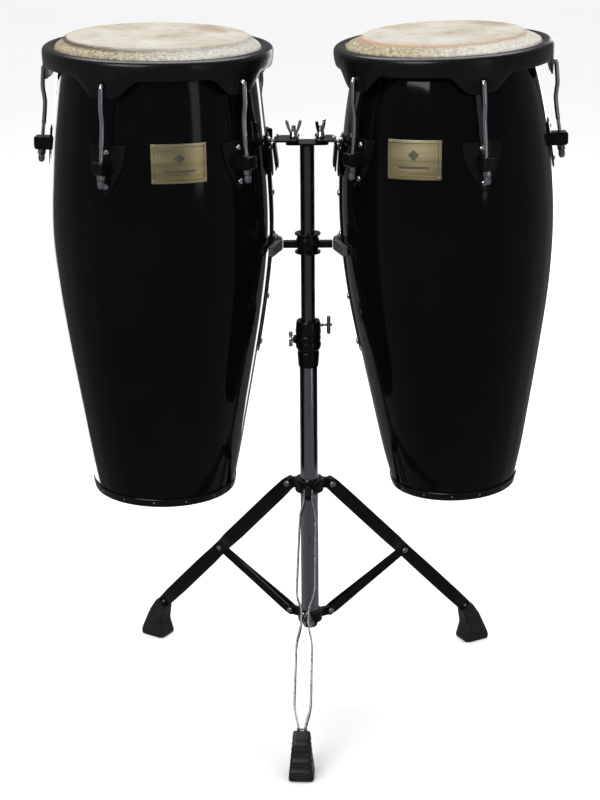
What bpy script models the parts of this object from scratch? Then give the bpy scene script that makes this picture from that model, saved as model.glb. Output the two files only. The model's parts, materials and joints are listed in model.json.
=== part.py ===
"""A pair of conga drums hung on a double stand with a folding tripod.

Metres, +Z up. The origin is on the floor, under the middle of the object's box.
Stand parts are made round the pole's own axis, and drum parts round the drum's own
axis with z = 0 at the shell's bottom edge. Empties place both in the world.
"""
import math

import bmesh
import bpy
from mathutils import Matrix, Vector

# Where the pole stands, from the middle of the footprint
STAND_X = 0.0134
STAND_Y = 0.0708

# Height of the soles in the stand's own coordinates
SOLE_Z = 0.0125

# Clearances between pieces that touch on the real object
GAP = 0.0003
SKIN_GAP = 0.0006

# Tubes
LOWER_TUBE_R = 0.0143
LOWER_TUBE_BORE_R = 0.0117
LOWER_TUBE_Z = (0.1195, 0.5745)
UPPER_TUBE_R = 0.0111
UPPER_TUBE_BORE_R = 0.0095
UPPER_TUBE_Z = (0.335, 0.9120)
TUBE_SIDES = 24

# Tripod linkage, as radius from the pole and height
TRIPOD_YAW = math.radians(-2.7)
LEG_ANGLES = {"front": -90.0, "right": 30.0, "left": 150.0}
HUB_PIVOT = (0.0392, 0.3527)
MID_PIVOT = (0.1767, 0.2070)
LOW_PIVOT = (0.0365, 0.1277)
LEG_LENGTH = 0.3812
LEG_WIDTH = 0.021
LEG_THICKNESS = 0.0026
BRACE_WIDTH = 0.015
BRACE_THICKNESS = 0.0022
HUB_EAR_HALF = 0.0046
COLLAR_EAR_HALF = 0.0039
RIVET_R = 0.0033
RING_BORE_R = LOWER_TUBE_R + GAP
HUB_Z = (0.348, 0.3695)
COLLAR_Z = (0.1185, 0.1370)
FOOT_TOP_HALF = 0.013
FOOT_SOLE_HALF = 0.0195

# Height clamp and memory lock
CLAMP_Z = (0.558, 0.610)
LOCK_Z = (0.6103, 0.6334)
T_SCREW_Z = 0.6256
CLAMP_SCREW_Z = 0.6025
SCREW_R = 0.0030
SCREW_BORE_R = SCREW_R + GAP

# Cradle that the drums' bellies lean on
CRADLE_Z = 0.7557
BAR_HALF = 0.0055
BAR_END = 0.0382
PAD_HALF_HEIGHT = 0.0078

# Top plate and the arms clamped on it
PLATE_Z = (0.9123, 0.9153)
PLATE_HALF = (0.0325, 0.018)
STUD_D = 0.0204
STUD_R = 0.0040
SEAT_Z = 0.9175
SEAT_R = 0.0085
STRAP_Z = (0.9178, 0.9208)
STRAP_HALF_WIDTH = 0.0225
STRAP_TIP = 0.0125
STRAP_THICKNESS = 0.0030
FLANGE_LOW_Z = 0.8800
HOOK_THICKNESS = 0.0022
NUT_Z = STRAP_Z[1] + GAP

# Drums: everything below the head is measured down from HEAD_Z
HEAD_Z = 0.711
SHELL_TOP = 0.7080
WALL = 0.010
SHELL_SIDES = 32
RIM_SIDES = 60
LUG_COUNT = 5
LUG_STEP = 360.0 / LUG_COUNT
EAR_HOLE_Z = -0.0490
EAR_HOLE_R = 0.0052
ROD_R = 0.0033
BOX_Z = (-0.1755, -0.1555)
BOX_HALF = 0.0085
BOX_REACH = 0.0200
BADGE_Z = (-0.1885, -0.1313)
BADGE_HALF = 0.041
BAND_HEIGHT = 0.013
MOUNT_PLATE_Z = (-0.486, -0.146)
MOUNT_PLATE_HALF = 0.016

DRUMS = {
    "left": {
        "pole_side": 1,
        "base": (-0.2311, 0.0, 0.3654),
        "lean": math.radians(0.85),
        "flat_r": 0.1385,
        "rim_r": 0.172,
        "lug_angle": -23.6,
        "badge_angle": 14.0,
        "hook_slope": 0.145,
        "plate_thickness": 0.0025,
        "profile": [(0.110, 0.0), (0.1212, 0.06), (0.1312, 0.12), (0.1508, 0.24), (0.1632, 0.33),
                    (0.170, 0.42), (0.1655, 0.52), (0.1575, 0.60), (0.1495, 0.66), (0.1375, SHELL_TOP)],
    },
    "right": {
        "pole_side": -1,
        "base": (0.2306, 0.0, 0.3674),
        "lean": math.radians(-2.25),
        "flat_r": 0.1227,
        "rim_r": 0.164,
        "lug_angle": 15.7,
        "badge_angle": -21.1,
        "hook_slope": 0.124,
        "plate_thickness": 0.0015,
        "profile": [(0.0965, 0.0), (0.110, 0.058), (0.1213, 0.119), (0.1422, 0.238), (0.1560, 0.33),
                    (0.1625, 0.42), (0.1605, 0.505), (0.1521, 0.579), (0.1400, 0.645), (0.1217, SHELL_TOP)],
    },
}

# name: (colour, metallic, roughness)
FINISHES = {
    "black_lacquer": ((0.010, 0.010, 0.012), 0.0, 0.12),
    "rawhide": ((0.78, 0.71, 0.60), 0.0, 0.55),
    "black_coat": ((0.014, 0.014, 0.015), 0.2, 0.38),
    "chrome": ((0.72, 0.72, 0.74), 1.0, 0.12),
    "dark_chrome": ((0.20, 0.20, 0.22), 1.0, 0.20),
    "brushed_brass": ((0.62, 0.55, 0.36), 1.0, 0.35),
    "rubber": ((0.018, 0.018, 0.019), 0.0, 0.70),
}


# ---------------------------------------------------------------- scene helpers

def clear_scene():
    for obj in list(bpy.data.objects):
        bpy.data.objects.remove(obj, do_unlink=True)


def material(object_name, finish):
    """One Principled material for each sub-part, in one of the finishes."""
    colour, metallic, roughness = FINISHES[finish]
    mat = bpy.data.materials.new(object_name + "_" + finish)
    mat.use_nodes = True
    shader = mat.node_tree.nodes["Principled BSDF"]
    shader.inputs["Base Color"].default_value = (*colour, 1.0)
    shader.inputs["Metallic"].default_value = metallic
    shader.inputs["Roughness"].default_value = roughness
    mat.diffuse_color = (*colour, 1.0)
    return mat


def empty(name, matrix, parent=None):
    obj = bpy.data.objects.new(name, None)
    obj.parent = parent
    obj.matrix_local = matrix
    bpy.context.collection.objects.link(obj)
    return obj


def solid(name, bm, finish, parent):
    """Turn a bmesh into a finished object under its parent, its faces pointing out."""
    bmesh.ops.recalc_face_normals(bm, faces=bm.faces)
    mesh = bpy.data.meshes.new(name)
    bm.to_mesh(mesh)
    bm.free()
    mesh.shade_smooth()
    mesh.set_sharp_from_angle(angle=math.radians(40))
    mesh.materials.append(material(name, finish))
    obj = bpy.data.objects.new(name, mesh)
    obj.parent = parent
    bpy.context.collection.objects.link(obj)
    return obj


def combine(obj, tools, operation):
    """Join to, or cut from, obj each bmesh in tools, and keep the plain result."""
    for number, bm in enumerate(tools):
        tool = solid("tool_%d" % number, bm, "black_coat", obj.parent)
        change = obj.modifiers.new("combine", "BOOLEAN")
        change.operation = operation
        change.solver = "EXACT"
        change.object = tool
        bpy.context.view_layer.update()
        graph = bpy.context.evaluated_depsgraph_get()
        result = bpy.data.meshes.new_from_object(obj.evaluated_get(graph))
        obj.modifiers.clear()
        obj.data = result
        bpy.data.objects.remove(tool, do_unlink=True)
    while len(obj.data.materials) > 1:
        obj.data.materials.pop()
    obj.data.shade_smooth()
    obj.data.set_sharp_from_angle(angle=math.radians(40))
    return obj


# ---------------------------------------------------------------- shape helpers

def smooth_radius(profile, z):
    """Radius at height z on the smooth curve through the (radius, height) points."""
    last = len(profile) - 2
    index = 0
    while index < last and z > profile[index + 1][1]:
        index += 1
    before = profile[max(index - 1, 0)]
    start = profile[index]
    end = profile[index + 1]
    after = profile[min(index + 2, len(profile) - 1)]
    span = end[1] - start[1]
    slope_start = (end[0] - before[0]) / (end[1] - before[1])
    slope_end = (after[0] - start[0]) / (after[1] - start[1])
    t = (z - start[1]) / span
    keep_start = 2 * t ** 3 - 3 * t ** 2 + 1
    keep_end = 3 * t ** 2 - 2 * t ** 3
    lead = (t ** 3 - 2 * t ** 2 + t) * span * slope_start
    tail = (t ** 3 - t ** 2) * span * slope_end
    return keep_start * start[0] + keep_end * end[0] + lead + tail


def revolve(outline, sides):
    """Turn (radius, height) points round Z. The outline closes itself, through the axis if it starts there."""
    bm = bmesh.new()
    rings = []
    for radius, z in outline:
        if radius < 1e-6:
            pole = bm.verts.new((0, 0, z))
            rings.append([pole] * sides)
            continue
        ring = []
        for step in range(sides):
            angle = 2 * math.pi * step / sides
            ring.append(bm.verts.new((radius * math.cos(angle), radius * math.sin(angle), z)))
        rings.append(ring)
    through_axis = outline[0][0] < 1e-6
    pairs = list(zip(rings, rings[1:]))
    if not through_axis:
        pairs.append((rings[-1], rings[0]))
    for low, high in pairs:
        for step in range(sides):
            following = (step + 1) % sides
            corners = [low[step], low[following], high[following], high[step]]
            unique = list(dict.fromkeys(corners))
            bm.faces.new(unique)
    return bm


def prism(outline, low, high):
    """Extrude a closed (x, y) outline along Z."""
    bm = bmesh.new()
    bottom = [bm.verts.new((x, y, low)) for x, y in outline]
    top = [bm.verts.new((x, y, high)) for x, y in outline]
    bm.faces.new(list(reversed(bottom)))
    bm.faces.new(top)
    count = len(outline)
    for index in range(count):
        following = (index + 1) % count
        bm.faces.new([bottom[index], bottom[following], top[following], top[index]])
    return bm


def side_prism(outline, low, high):
    """Extrude a closed (x, z) outline along Y, from y = low to y = high."""
    bm = prism(outline, low, high)
    turn = Matrix(((1, 0, 0, 0), (0, 0, 1, 0), (0, 1, 0, 0), (0, 0, 0, 1)))
    bmesh.ops.transform(bm, matrix=turn, verts=bm.verts)
    return bm


def box(low, high):
    outline = [(low[0], low[1]), (high[0], low[1]), (high[0], high[1]), (low[0], high[1])]
    return prism(outline, low[2], high[2])


def sweep(points, radii, sides):
    """A round rod along points, with a radius at each of them and flat ends."""
    bm = bmesh.new()
    points = [Vector(point) for point in points]
    rings = []
    normal = None
    for index, point in enumerate(points):
        before = points[max(index - 1, 0)]
        after = points[min(index + 1, len(points) - 1)]
        along = (after - before).normalized()
        if normal is None:
            normal = along.orthogonal()
        normal = (normal - along * normal.dot(along)).normalized()
        across = along.cross(normal)
        ring = []
        for step in range(sides):
            angle = 2 * math.pi * (step + 0.5) / sides
            offset = normal * math.cos(angle) + across * math.sin(angle)
            ring.append(bm.verts.new(point + offset * radii[index]))
        rings.append(ring)
    for low, high in zip(rings, rings[1:]):
        for step in range(sides):
            following = (step + 1) % sides
            bm.faces.new([low[step], low[following], high[following], high[step]])
    bm.faces.new(list(reversed(rings[0])))
    bm.faces.new(rings[-1])
    return bm


def rod(start, end, radius, sides=12):
    return sweep([start, end], [radius, radius], sides)


def ribbon(points, thickness):
    """Closed outline of a strip of even thickness that follows a line of 2-D points."""
    left = []
    right = []
    for index, point in enumerate(points):
        here = Vector(point)
        back = (here - Vector(points[index - 1])).normalized() if index > 0 else None
        ahead = (Vector(points[index + 1]) - here).normalized() if index < len(points) - 1 else None
        back = back or ahead
        ahead = ahead or back
        normal_back = Vector((-back.y, back.x))
        normal_ahead = Vector((-ahead.y, ahead.x))
        mitre = (normal_back + normal_ahead).normalized()
        reach = thickness / 2 / mitre.dot(normal_ahead)
        left.append(tuple(here + mitre * reach))
        right.append(tuple(here - mitre * reach))
    return left + right[::-1]


def arc(centre, radius, start, end, steps):
    """Points on a circle from angle start to angle end, both in degrees."""
    points = []
    for step in range(steps + 1):
        angle = math.radians(start + (end - start) * step / steps)
        points.append((centre[0] + radius * math.cos(angle), centre[1] + radius * math.sin(angle)))
    return points


def moved(bm, matrix):
    bmesh.ops.transform(bm, matrix=matrix, verts=bm.verts)
    return bm


def compass(angle):
    """Turn a bearing, in degrees from the front with + to the right, into a turn about Z from +X."""
    return math.radians(angle - 90.0)


# ---------------------------------------------------------------- drum pieces

def shell_outline(profile):
    outer_heights = [SHELL_TOP * step / 11 for step in range(12)]
    inner_heights = [SHELL_TOP * step / 7 for step in range(8)]
    outer = [(smooth_radius(profile, z), z) for z in outer_heights]
    inner = [(smooth_radius(profile, z) - WALL, z) for z in inner_heights]
    return outer + inner[::-1]


def head_outline(flat_r, collar_r):
    """Section through the hide and the flesh hoop rolled into its edge."""
    middle = (flat_r + collar_r) / 2
    hoop = collar_r + 0.0035
    return [
        (0.0, HEAD_Z),
        (flat_r - 0.004, HEAD_Z - 0.0002),
        (flat_r, HEAD_Z - 0.0018),
        (middle, HEAD_Z - 0.0085),
        (collar_r, HEAD_Z - 0.0150),
        (collar_r + 0.0004, HEAD_Z - 0.0188),
        (hoop + 0.004, HEAD_Z - 0.0190),
        (hoop + 0.005, HEAD_Z - 0.0250),
        (hoop, HEAD_Z - 0.0290),
        (collar_r - 0.0015, HEAD_Z - 0.0235),
        (middle - 0.0015, HEAD_Z - 0.0112),
        (flat_r + 0.0012, HEAD_Z - 0.0056),
        (flat_r, HEAD_Z - 0.0026),
        (0.0, HEAD_Z - 0.0026),
    ]


def rim_section(rim_r, collar_r, depth):
    """Section through the counter hoop: rolled lip, then a skirt that ends at depth."""
    return [
        (collar_r + 0.0010, HEAD_Z - 0.0178),
        (collar_r + 0.0022, HEAD_Z - 0.0150),
        (collar_r + 0.0080, HEAD_Z - 0.0132),
        (rim_r - 0.0040, HEAD_Z - 0.0146),
        (rim_r, HEAD_Z - 0.0200),
        (rim_r, HEAD_Z - 0.0275),
        (rim_r - 0.0025, HEAD_Z + depth),
        (rim_r - 0.0055, HEAD_Z + depth),
        (rim_r - 0.0032, HEAD_Z - 0.0275),
        (rim_r - 0.0045, HEAD_Z - 0.0195),
        (collar_r + 0.0100, HEAD_Z - 0.0172),
    ]


def skirt_depth(angle, lug_angles):
    """How far down the skirt reaches at an angle: deep at each ear, shallow between."""
    between = -0.0415
    ear = -0.0670
    nearest = min(abs((angle - lug + 180) % 360 - 180) for lug in lug_angles)
    share = min(max((19.0 - nearest) / 14.0, 0.0), 1.0)
    share = share * share * (3 - 2 * share)
    return between + (ear - between) * share


def make_rim(name, drum, lug_angles, parent):
    rim_r = drum["rim_r"]
    collar_r = rim_r - 0.0185
    bm = bmesh.new()
    sections = []
    for step in range(RIM_SIDES):
        angle = lug_angles[0] + 360.0 * step / RIM_SIDES
        turn = compass(angle)
        section = []
        for radius, z in rim_section(rim_r, collar_r, skirt_depth(angle, lug_angles)):
            section.append(bm.verts.new((radius * math.cos(turn), radius * math.sin(turn), z)))
        sections.append(section)
    for index, section in enumerate(sections):
        following = sections[(index + 1) % RIM_SIDES]
        for corner in range(len(section)):
            after = (corner + 1) % len(section)
            bm.faces.new([section[corner], section[after], following[after], following[corner]])
    rim = solid(name, bm, "black_coat", parent)
    holes = []
    for angle in lug_angles:
        height = HEAD_Z + EAR_HOLE_Z
        hole = rod((rim_r - 0.012, 0, height), (rim_r + 0.008, 0, height), EAR_HOLE_R, 8)
        holes.append(moved(hole, Matrix.Rotation(compass(angle), 4, "Z")))
    return combine(rim, holes, "DIFFERENCE")


def skin_patch(profile, angle, rows, columns, thickness):
    """A thin curved plate on the shell. rows holds (height, half width) pairs, top to bottom."""
    bm = bmesh.new()
    layers = []
    for lift in (SKIN_GAP, SKIN_GAP + thickness):
        layer = []
        for z, half in rows:
            surface = smooth_radius(profile, z)
            line = []
            for column in range(columns + 1):
                across = half * (2 * column / columns - 1)
                turn = compass(angle) + across / surface
                radius = surface + lift
                line.append(bm.verts.new((radius * math.cos(turn), radius * math.sin(turn), z)))
            layer.append(line)
        layers.append(layer)
    back, front = layers
    last_row = len(rows) - 1
    for row in range(last_row):
        for column in range(columns):
            for layer in layers:
                bm.faces.new([layer[row][column], layer[row][column + 1],
                              layer[row + 1][column + 1], layer[row + 1][column]])
        for column in (0, columns):
            bm.faces.new([back[row][column], back[row + 1][column],
                          front[row + 1][column], front[row][column]])
    for row in (0, last_row):
        for column in range(columns):
            bm.faces.new([back[row][column], back[row][column + 1],
                          front[row][column + 1], front[row][column]])
    return bm


def rod_path(rim_r):
    """Centre line of a tuning rod, as radius and height: hook, shaft, nut and tip, with thicknesses."""
    return [
        (rim_r - 0.0110, EAR_HOLE_Z, ROD_R),
        (rim_r - 0.0010, EAR_HOLE_Z, ROD_R),
        (rim_r + 0.0022, EAR_HOLE_Z - 0.0020, ROD_R),
        (rim_r + 0.0030, EAR_HOLE_Z - 0.0080, ROD_R),
        (rim_r + 0.0045, -0.080, ROD_R),
        (rim_r + 0.0018, -0.101, ROD_R),
        (rim_r + 0.0053, -0.137, ROD_R),
        (rim_r + 0.0080, -0.1560, ROD_R),
        (rim_r + 0.0099, BOX_Z[0] - 0.0010, ROD_R),
        (rim_r + 0.00991, BOX_Z[0] - 0.0011, 0.0068),
        (rim_r + 0.0104, -0.1830, 0.0068),
        (rim_r + 0.01043, -0.1831, 0.0040),
        (rim_r + 0.0105, -0.1850, 0.0050),
        (rim_r + 0.0111, -0.1930, 0.0050),
        (rim_r + 0.0113, -0.1960, 0.0030),
    ]


def make_rod(name, drum, angle, parent):
    path = rod_path(drum["rim_r"])
    points = [(radius, 0, HEAD_Z + z) for radius, z, _ in path]
    radii = [thickness for _, _, thickness in path]
    bm = moved(sweep(points, radii, 6), Matrix.Rotation(compass(angle), 4, "Z"))
    return solid(name, bm, "chrome", parent)


def make_lug(name, drum, angle, parent):
    rim_r = drum["rim_r"]
    profile = drum["profile"]
    shield = [(-0.137, 0.029), (-0.152, 0.0285), (-0.167, 0.0245), (-0.185, 0.0165),
              (-0.200, 0.0080), (-0.2095, 0.0020)]
    rows = [(HEAD_Z + z, half) for z, half in shield]
    lug = solid(name, skin_patch(profile, angle, rows, 4, 0.0025), "black_coat", parent)
    low = HEAD_Z + BOX_Z[0]
    high = HEAD_Z + BOX_Z[1]
    outer = rim_r + BOX_REACH
    section = [(smooth_radius(profile, low) + SKIN_GAP + 0.0013, low), (outer, low),
               (outer, high), (smooth_radius(profile, high) + SKIN_GAP + 0.0013, high)]
    turn = Matrix.Rotation(compass(angle), 4, "Z")
    block = moved(side_prism(section, -BOX_HALF, BOX_HALF), turn)
    combine(lug, [block], "UNION")
    bore = sweep([(rim_r + 0.0073, 0, high + 0.005), (rim_r + 0.0103, 0, low - 0.005)],
                 [ROD_R + 0.0007, ROD_R + 0.0007], 8)
    return combine(lug, [moved(bore, turn)], "DIFFERENCE")


def hook_line(drum):
    """Centre line of the hook bracket's strap, as (radius, height): up the plate, over, and down."""
    profile = drum["profile"]
    high = HEAD_Z - 0.1660
    low = HEAD_Z - 0.2060
    stand_off = SKIN_GAP + drum["plate_thickness"] + SKIN_GAP + HOOK_THICKNESS / 2
    up_leg = [(smooth_radius(profile, low) + stand_off, low),
              (smooth_radius(profile, high) + stand_off, high)]
    crest_r = 0.0019
    centre = (up_leg[1][0] + crest_r, high)
    crest = arc(centre, crest_r, 165, 15, 4)
    drop = 0.0330
    end = (crest[-1][0] + drop * drum["hook_slope"], crest[-1][1] - drop)
    return up_leg + crest + [end]


def make_hook(name, drum, parent):
    """Inverted U strap: one leg on the mounting plate, the other behind the arm's flange."""
    outline = [(radius * drum["pole_side"], z) for radius, z in ribbon(hook_line(drum), HOOK_THICKNESS)]
    return solid(name, side_prism(outline, -STRAP_HALF_WIDTH, STRAP_HALF_WIDTH), "black_coat", parent)


def drum_to_stand(drum, radius, z):
    """Distance from the pole, and height, of a point on the side of the drum that faces the pole."""
    lean = drum["lean"]
    across = drum["pole_side"] * radius
    x = drum["base"][0] + across * math.cos(lean) + z * math.sin(lean)
    return abs(x), drum["base"][2] + z * math.cos(lean) - across * math.sin(lean)


def flange_distance(drum, height):
    """Where the middle of the arm's flange lies at a height, so that it just clears the hook."""
    top_d, top_z = drum_to_stand(drum, *hook_line(drum)[-2])
    low_d, low_z = drum_to_stand(drum, *hook_line(drum)[-1])
    slope = (top_d - low_d) / (top_z - low_z)
    clear = (HOOK_THICKNESS / 2 + GAP + STRAP_THICKNESS / 2) * math.hypot(1, slope)
    return low_d + slope * (height - low_z) - clear


def make_drum(side_name, stand):
    drum = DRUMS[side_name]
    profile = drum["profile"]
    rim_r = drum["rim_r"]
    frame = Matrix.Translation(drum["base"]) @ Matrix.Rotation(drum["lean"], 4, "Y")
    parent = empty(side_name + "_drum_axis", frame, stand)
    lug_angles = [drum["lug_angle"] + LUG_STEP * index for index in range(LUG_COUNT)]
    pole_angle = 90.0 * drum["pole_side"]

    solid(side_name + "_shell", revolve(shell_outline(profile), SHELL_SIDES), "black_lacquer", parent)
    head = head_outline(drum["flat_r"], rim_r - 0.0185)
    solid(side_name + "_head", revolve(head, SHELL_SIDES), "rawhide", parent)
    make_rim(side_name + "_rim", drum, lug_angles, parent)

    foot_r = profile[0][0]
    band_top_r = smooth_radius(profile, BAND_HEIGHT)
    band = [(foot_r + SKIN_GAP, 0.0), (foot_r + SKIN_GAP + 0.0014, 0.0),
            (band_top_r + SKIN_GAP + 0.0014, BAND_HEIGHT), (band_top_r + SKIN_GAP, BAND_HEIGHT)]
    solid(side_name + "_base_band", revolve(band, SHELL_SIDES), "black_coat", parent)

    badge_rows = [(HEAD_Z + BADGE_Z[1] - 0.0143 * row, BADGE_HALF) for row in range(5)]
    badge = skin_patch(profile, drum["badge_angle"], badge_rows, 6, 0.0016)
    solid(side_name + "_badge", badge, "brushed_brass", parent)

    plate_step = (MOUNT_PLATE_Z[1] - MOUNT_PLATE_Z[0]) / 8
    plate_rows = [(HEAD_Z + MOUNT_PLATE_Z[1] - plate_step * row, MOUNT_PLATE_HALF) for row in range(9)]
    plate = skin_patch(profile, pole_angle, plate_rows, 3, drum["plate_thickness"])
    solid(side_name + "_mount_plate", plate, "black_coat", parent)
    make_hook(side_name + "_hook_bracket", drum, parent)

    for index, angle in enumerate(lug_angles):
        make_rod("%s_tuning_rod_%d" % (side_name, index + 1), drum, angle, parent)
        make_lug("%s_lug_%d" % (side_name, index + 1), drum, angle, parent)


# ---------------------------------------------------------------- pole pieces

def make_tubes(stand):
    low, high = LOWER_TUBE_Z
    lower = [(LOWER_TUBE_R, low), (LOWER_TUBE_R, high), (LOWER_TUBE_BORE_R, high), (LOWER_TUBE_BORE_R, low)]
    solid("lower_tube", revolve(lower, TUBE_SIDES), "chrome", stand)
    low, high = UPPER_TUBE_Z
    upper = [(UPPER_TUBE_R, low), (UPPER_TUBE_R, high), (UPPER_TUBE_BORE_R, high), (UPPER_TUBE_BORE_R, low)]
    solid("upper_tube", revolve(upper, TUBE_SIDES), "dark_chrome", stand)


def make_height_lock(stand):
    bore = UPPER_TUBE_R + GAP
    shoulder = LOWER_TUBE_Z[1] + GAP
    low, high = CLAMP_Z
    clamp = [(0.0158, low), (0.0176, low + 0.024), (0.0169, low + 0.027), (0.0200, low + 0.034),
             (0.0204, low + 0.042), (0.0198, high), (bore, high), (bore, shoulder),
             (RING_BORE_R, shoulder), (RING_BORE_R, low)]
    body = solid("height_clamp", revolve(clamp, TUBE_SIDES), "black_coat", stand)
    start = (-0.0145, 0, CLAMP_SCREW_Z)
    combine(body, [rod(start, (-0.03, 0, CLAMP_SCREW_Z), SCREW_BORE_R)], "DIFFERENCE")

    low, high = LOCK_Z
    lock = [(0.0198, low), (0.0203, low + 0.006), (0.0187, high), (0.0162, high),
            (0.0128, high - 0.0022), (bore, high - 0.0022), (bore, low)]
    body = solid("memory_lock", revolve(lock, TUBE_SIDES), "black_coat", stand)
    start = (0.0145, 0, T_SCREW_Z)
    combine(body, [rod(start, (0.03, 0, T_SCREW_Z), SCREW_BORE_R)], "DIFFERENCE")


def wing_screw(name, frame, shaft, wing_at, parent):
    """A screw along its own +X, from x = shaft to the two flat wings round x = wing_at."""
    pivot = empty(name + "_axis", frame, parent)
    screw = solid(name, rod((shaft, 0, 0), (wing_at, 0, 0), SCREW_R), "chrome", pivot)
    hub = sweep([(wing_at - 0.0035, 0, 0), (wing_at + 0.0035, 0, 0)], [0.0050, 0.0038], 12)
    pieces = [hub]
    for direction in (1, -1):
        wing = [(wing_at - 0.0015, 0.002 * direction), (wing_at + 0.0015, 0.002 * direction),
                (wing_at + 0.0042, 0.0075 * direction), (wing_at + 0.0038, 0.0125 * direction),
                (wing_at - 0.0022, 0.0125 * direction), (wing_at - 0.0028, 0.0070 * direction)]
        pieces.append(side_prism(wing, -0.0012, 0.0012))
    return combine(screw, pieces, "UNION")


def make_t_screw(stand):
    pivot = empty("t_screw_axis", Matrix.Translation((0, 0, T_SCREW_Z)), stand)
    screw = solid("t_screw", rod((0.0148, 0, 0), (0.0378, 0, 0), SCREW_R - 0.0008), "chrome", pivot)
    bar = sweep([(0.0318, 0, -0.0150), (0.0318, 0, -0.0140), (0.0318, 0, 0.0140), (0.0318, 0, 0.0150)],
                [0.0022, 0.0031, 0.0031, 0.0022], 10)
    return combine(screw, [bar], "UNION")


def make_cradle(stand):
    """Barrel sleeve with a washer at each end and a square bar out to each side."""
    z = CRADLE_Z
    bore = UPPER_TUBE_R + GAP
    barrel = [(bore, z - 0.0135), (0.0200, z - 0.0135), (0.0203, z - 0.0120), (0.0158, z - 0.0105),
              (0.0166, z - 0.0060), (0.0185, z - 0.0020), (0.0185, z + 0.0055), (0.0166, z + 0.0100),
              (0.0160, z + 0.0140), (0.0203, z + 0.0165), (0.0200, z + 0.0180), (bore, z + 0.0180)]
    cradle = solid("cradle", revolve(barrel, TUBE_SIDES), "black_coat", stand)
    bars = []
    for side in (-1, 1):
        inner = 0.0145 * side
        outer = BAR_END * side
        bars.append(box((min(inner, outer), -BAR_HALF, z - BAR_HALF), (max(inner, outer), BAR_HALF, z + BAR_HALF)))
    combine(cradle, bars, "UNION")

    half = [(0.0385, 0.006), (0.0528, 0.0505), (0.0612, 0.0495), (0.0485, 0.007)]
    for name, side in (("left", -1), ("right", 1)):
        outline = [(0.0385, 0.0)] + half + [(0.0470, 0.0)] + [(d, -y) for d, y in half[::-1]]
        outline = [(d * side, y) for d, y in outline]
        pad = prism(outline, z - PAD_HALF_HEIGHT, z + PAD_HALF_HEIGHT)
        solid(name + "_cradle_pad", pad, "rubber", stand)


def make_top_plate(stand):
    low, high = PLATE_Z
    half_x, half_y = PLATE_HALF
    corner = 0.006
    outline = [(half_x - corner, -half_y), (half_x, corner - half_y), (half_x, half_y - corner),
               (half_x - corner, half_y), (corner - half_x, half_y), (-half_x, half_y - corner),
               (-half_x, corner - half_y), (corner - half_x, -half_y)]
    plate = solid("top_plate", prism(outline, low, high), "black_coat", stand)
    studs = []
    for side in (-1, 1):
        x = STUD_D * side
        studs.append(rod((x, 0, low + 0.001), (x, 0, high + 0.024), STUD_R, 12))
        studs.append(rod((x, 0, low + 0.001), (x, 0, SEAT_Z), SEAT_R, 16))
        studs.append(sweep([(x, 0, low - 0.0028), (x, 0, low + 0.0008)], [0.0045, 0.0068], 12))
    return combine(plate, studs, "UNION")


def make_arm(side_name, stand):
    """Strap from the top plate out to the drum, slotted round the stud, its end bent down."""
    drum = DRUMS[side_name]
    side = -drum["pole_side"]
    middle_z = (STRAP_Z[0] + STRAP_Z[1]) / 2
    bend = 0.004
    flange = flange_distance(drum, middle_z - bend)
    corner = arc((flange - bend, middle_z - bend), bend, 90, 0, 3)
    end = (flange_distance(drum, FLANGE_LOW_Z), FLANGE_LOW_Z)
    tip = (STRAP_TIP, middle_z + 0.0030)
    line = [tip, (STRAP_TIP + 0.0035, middle_z)] + corner + [end]
    outline = [(d * side, z) for d, z in ribbon(line, STRAP_THICKNESS)]
    strap = side_prism(outline, -STRAP_HALF_WIDTH, STRAP_HALF_WIDTH)
    arm = solid(side_name + "_arm", strap, "black_coat", stand)
    slot_half = STUD_R + 0.0006
    slot_end = STUD_D + STUD_R + 0.0006
    lip_end = STRAP_TIP + 0.0037
    cuts = []
    for reach, half, low in ((slot_end, slot_half, STRAP_Z[0] - 0.002), (lip_end, 0.0080, STRAP_Z[0] - 0.002)):
        x_low, x_high = sorted((0.005 * side, reach * side))
        cuts.append(box((x_low, -half, low), (x_high, half, STRAP_Z[1] + 0.01)))
    return combine(arm, cuts, "DIFFERENCE")


def make_arm_nut(side_name, turn, stand):
    """Tall wing nut on the stud, its ears turned by an angle about Z."""
    side = -DRUMS[side_name]["pole_side"]
    frame = Matrix.Translation((STUD_D * side, 0, NUT_Z)) @ Matrix.Rotation(turn, 4, "Z")
    pivot = empty(side_name + "_arm_nut_axis", frame, stand)
    bore = STUD_R + GAP
    outline = [(bore, 0.0), (0.0068, 0.0), (0.0068, 0.0025), (0.0058, 0.0095), (bore, 0.0095)]
    nut = solid(side_name + "_arm_nut", revolve(outline, 12), "chrome", pivot)
    ears = []
    for direction in (1, -1):
        ear = [(0.0048, 0.0070), (0.0064, 0.0070), (0.0105, 0.0150), (0.0125, 0.0240), (0.0100, 0.0270),
               (0.0070, 0.0250), (0.0055, 0.0150), (0.0048, 0.0085)]
        ears.append(side_prism([(x * direction, z) for x, z in ear], -0.0015, 0.0015))
    return combine(nut, ears, "UNION")


# ---------------------------------------------------------------- tripod

def make_ring(name, bore, outer, heights, ear_outline, ear_half, pivot, stand):
    """Ring round the lower tube with three ears, each bored for its rivet."""
    low, high = heights
    edge = 0.0015
    outline = [(bore, low), (outer - edge, low), (outer, low + edge), (outer, high - edge),
               (outer - edge, high), (bore, high)]
    ring = solid(name, revolve(outline, TUBE_SIDES), "black_coat", stand)
    ears = []
    holes = []
    for angle in LEG_ANGLES.values():
        turn = Matrix.Rotation(math.radians(angle) + TRIPOD_YAW, 4, "Z")
        ears.append(moved(side_prism(ear_outline, -ear_half, ear_half), turn))
        hole = rod((pivot[0], -0.01, pivot[1]), (pivot[0], 0.01, pivot[1]), RIVET_R + GAP, 12)
        holes.append(moved(hole, turn))
    combine(ring, ears, "UNION")
    return combine(ring, holes, "DIFFERENCE")


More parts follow.
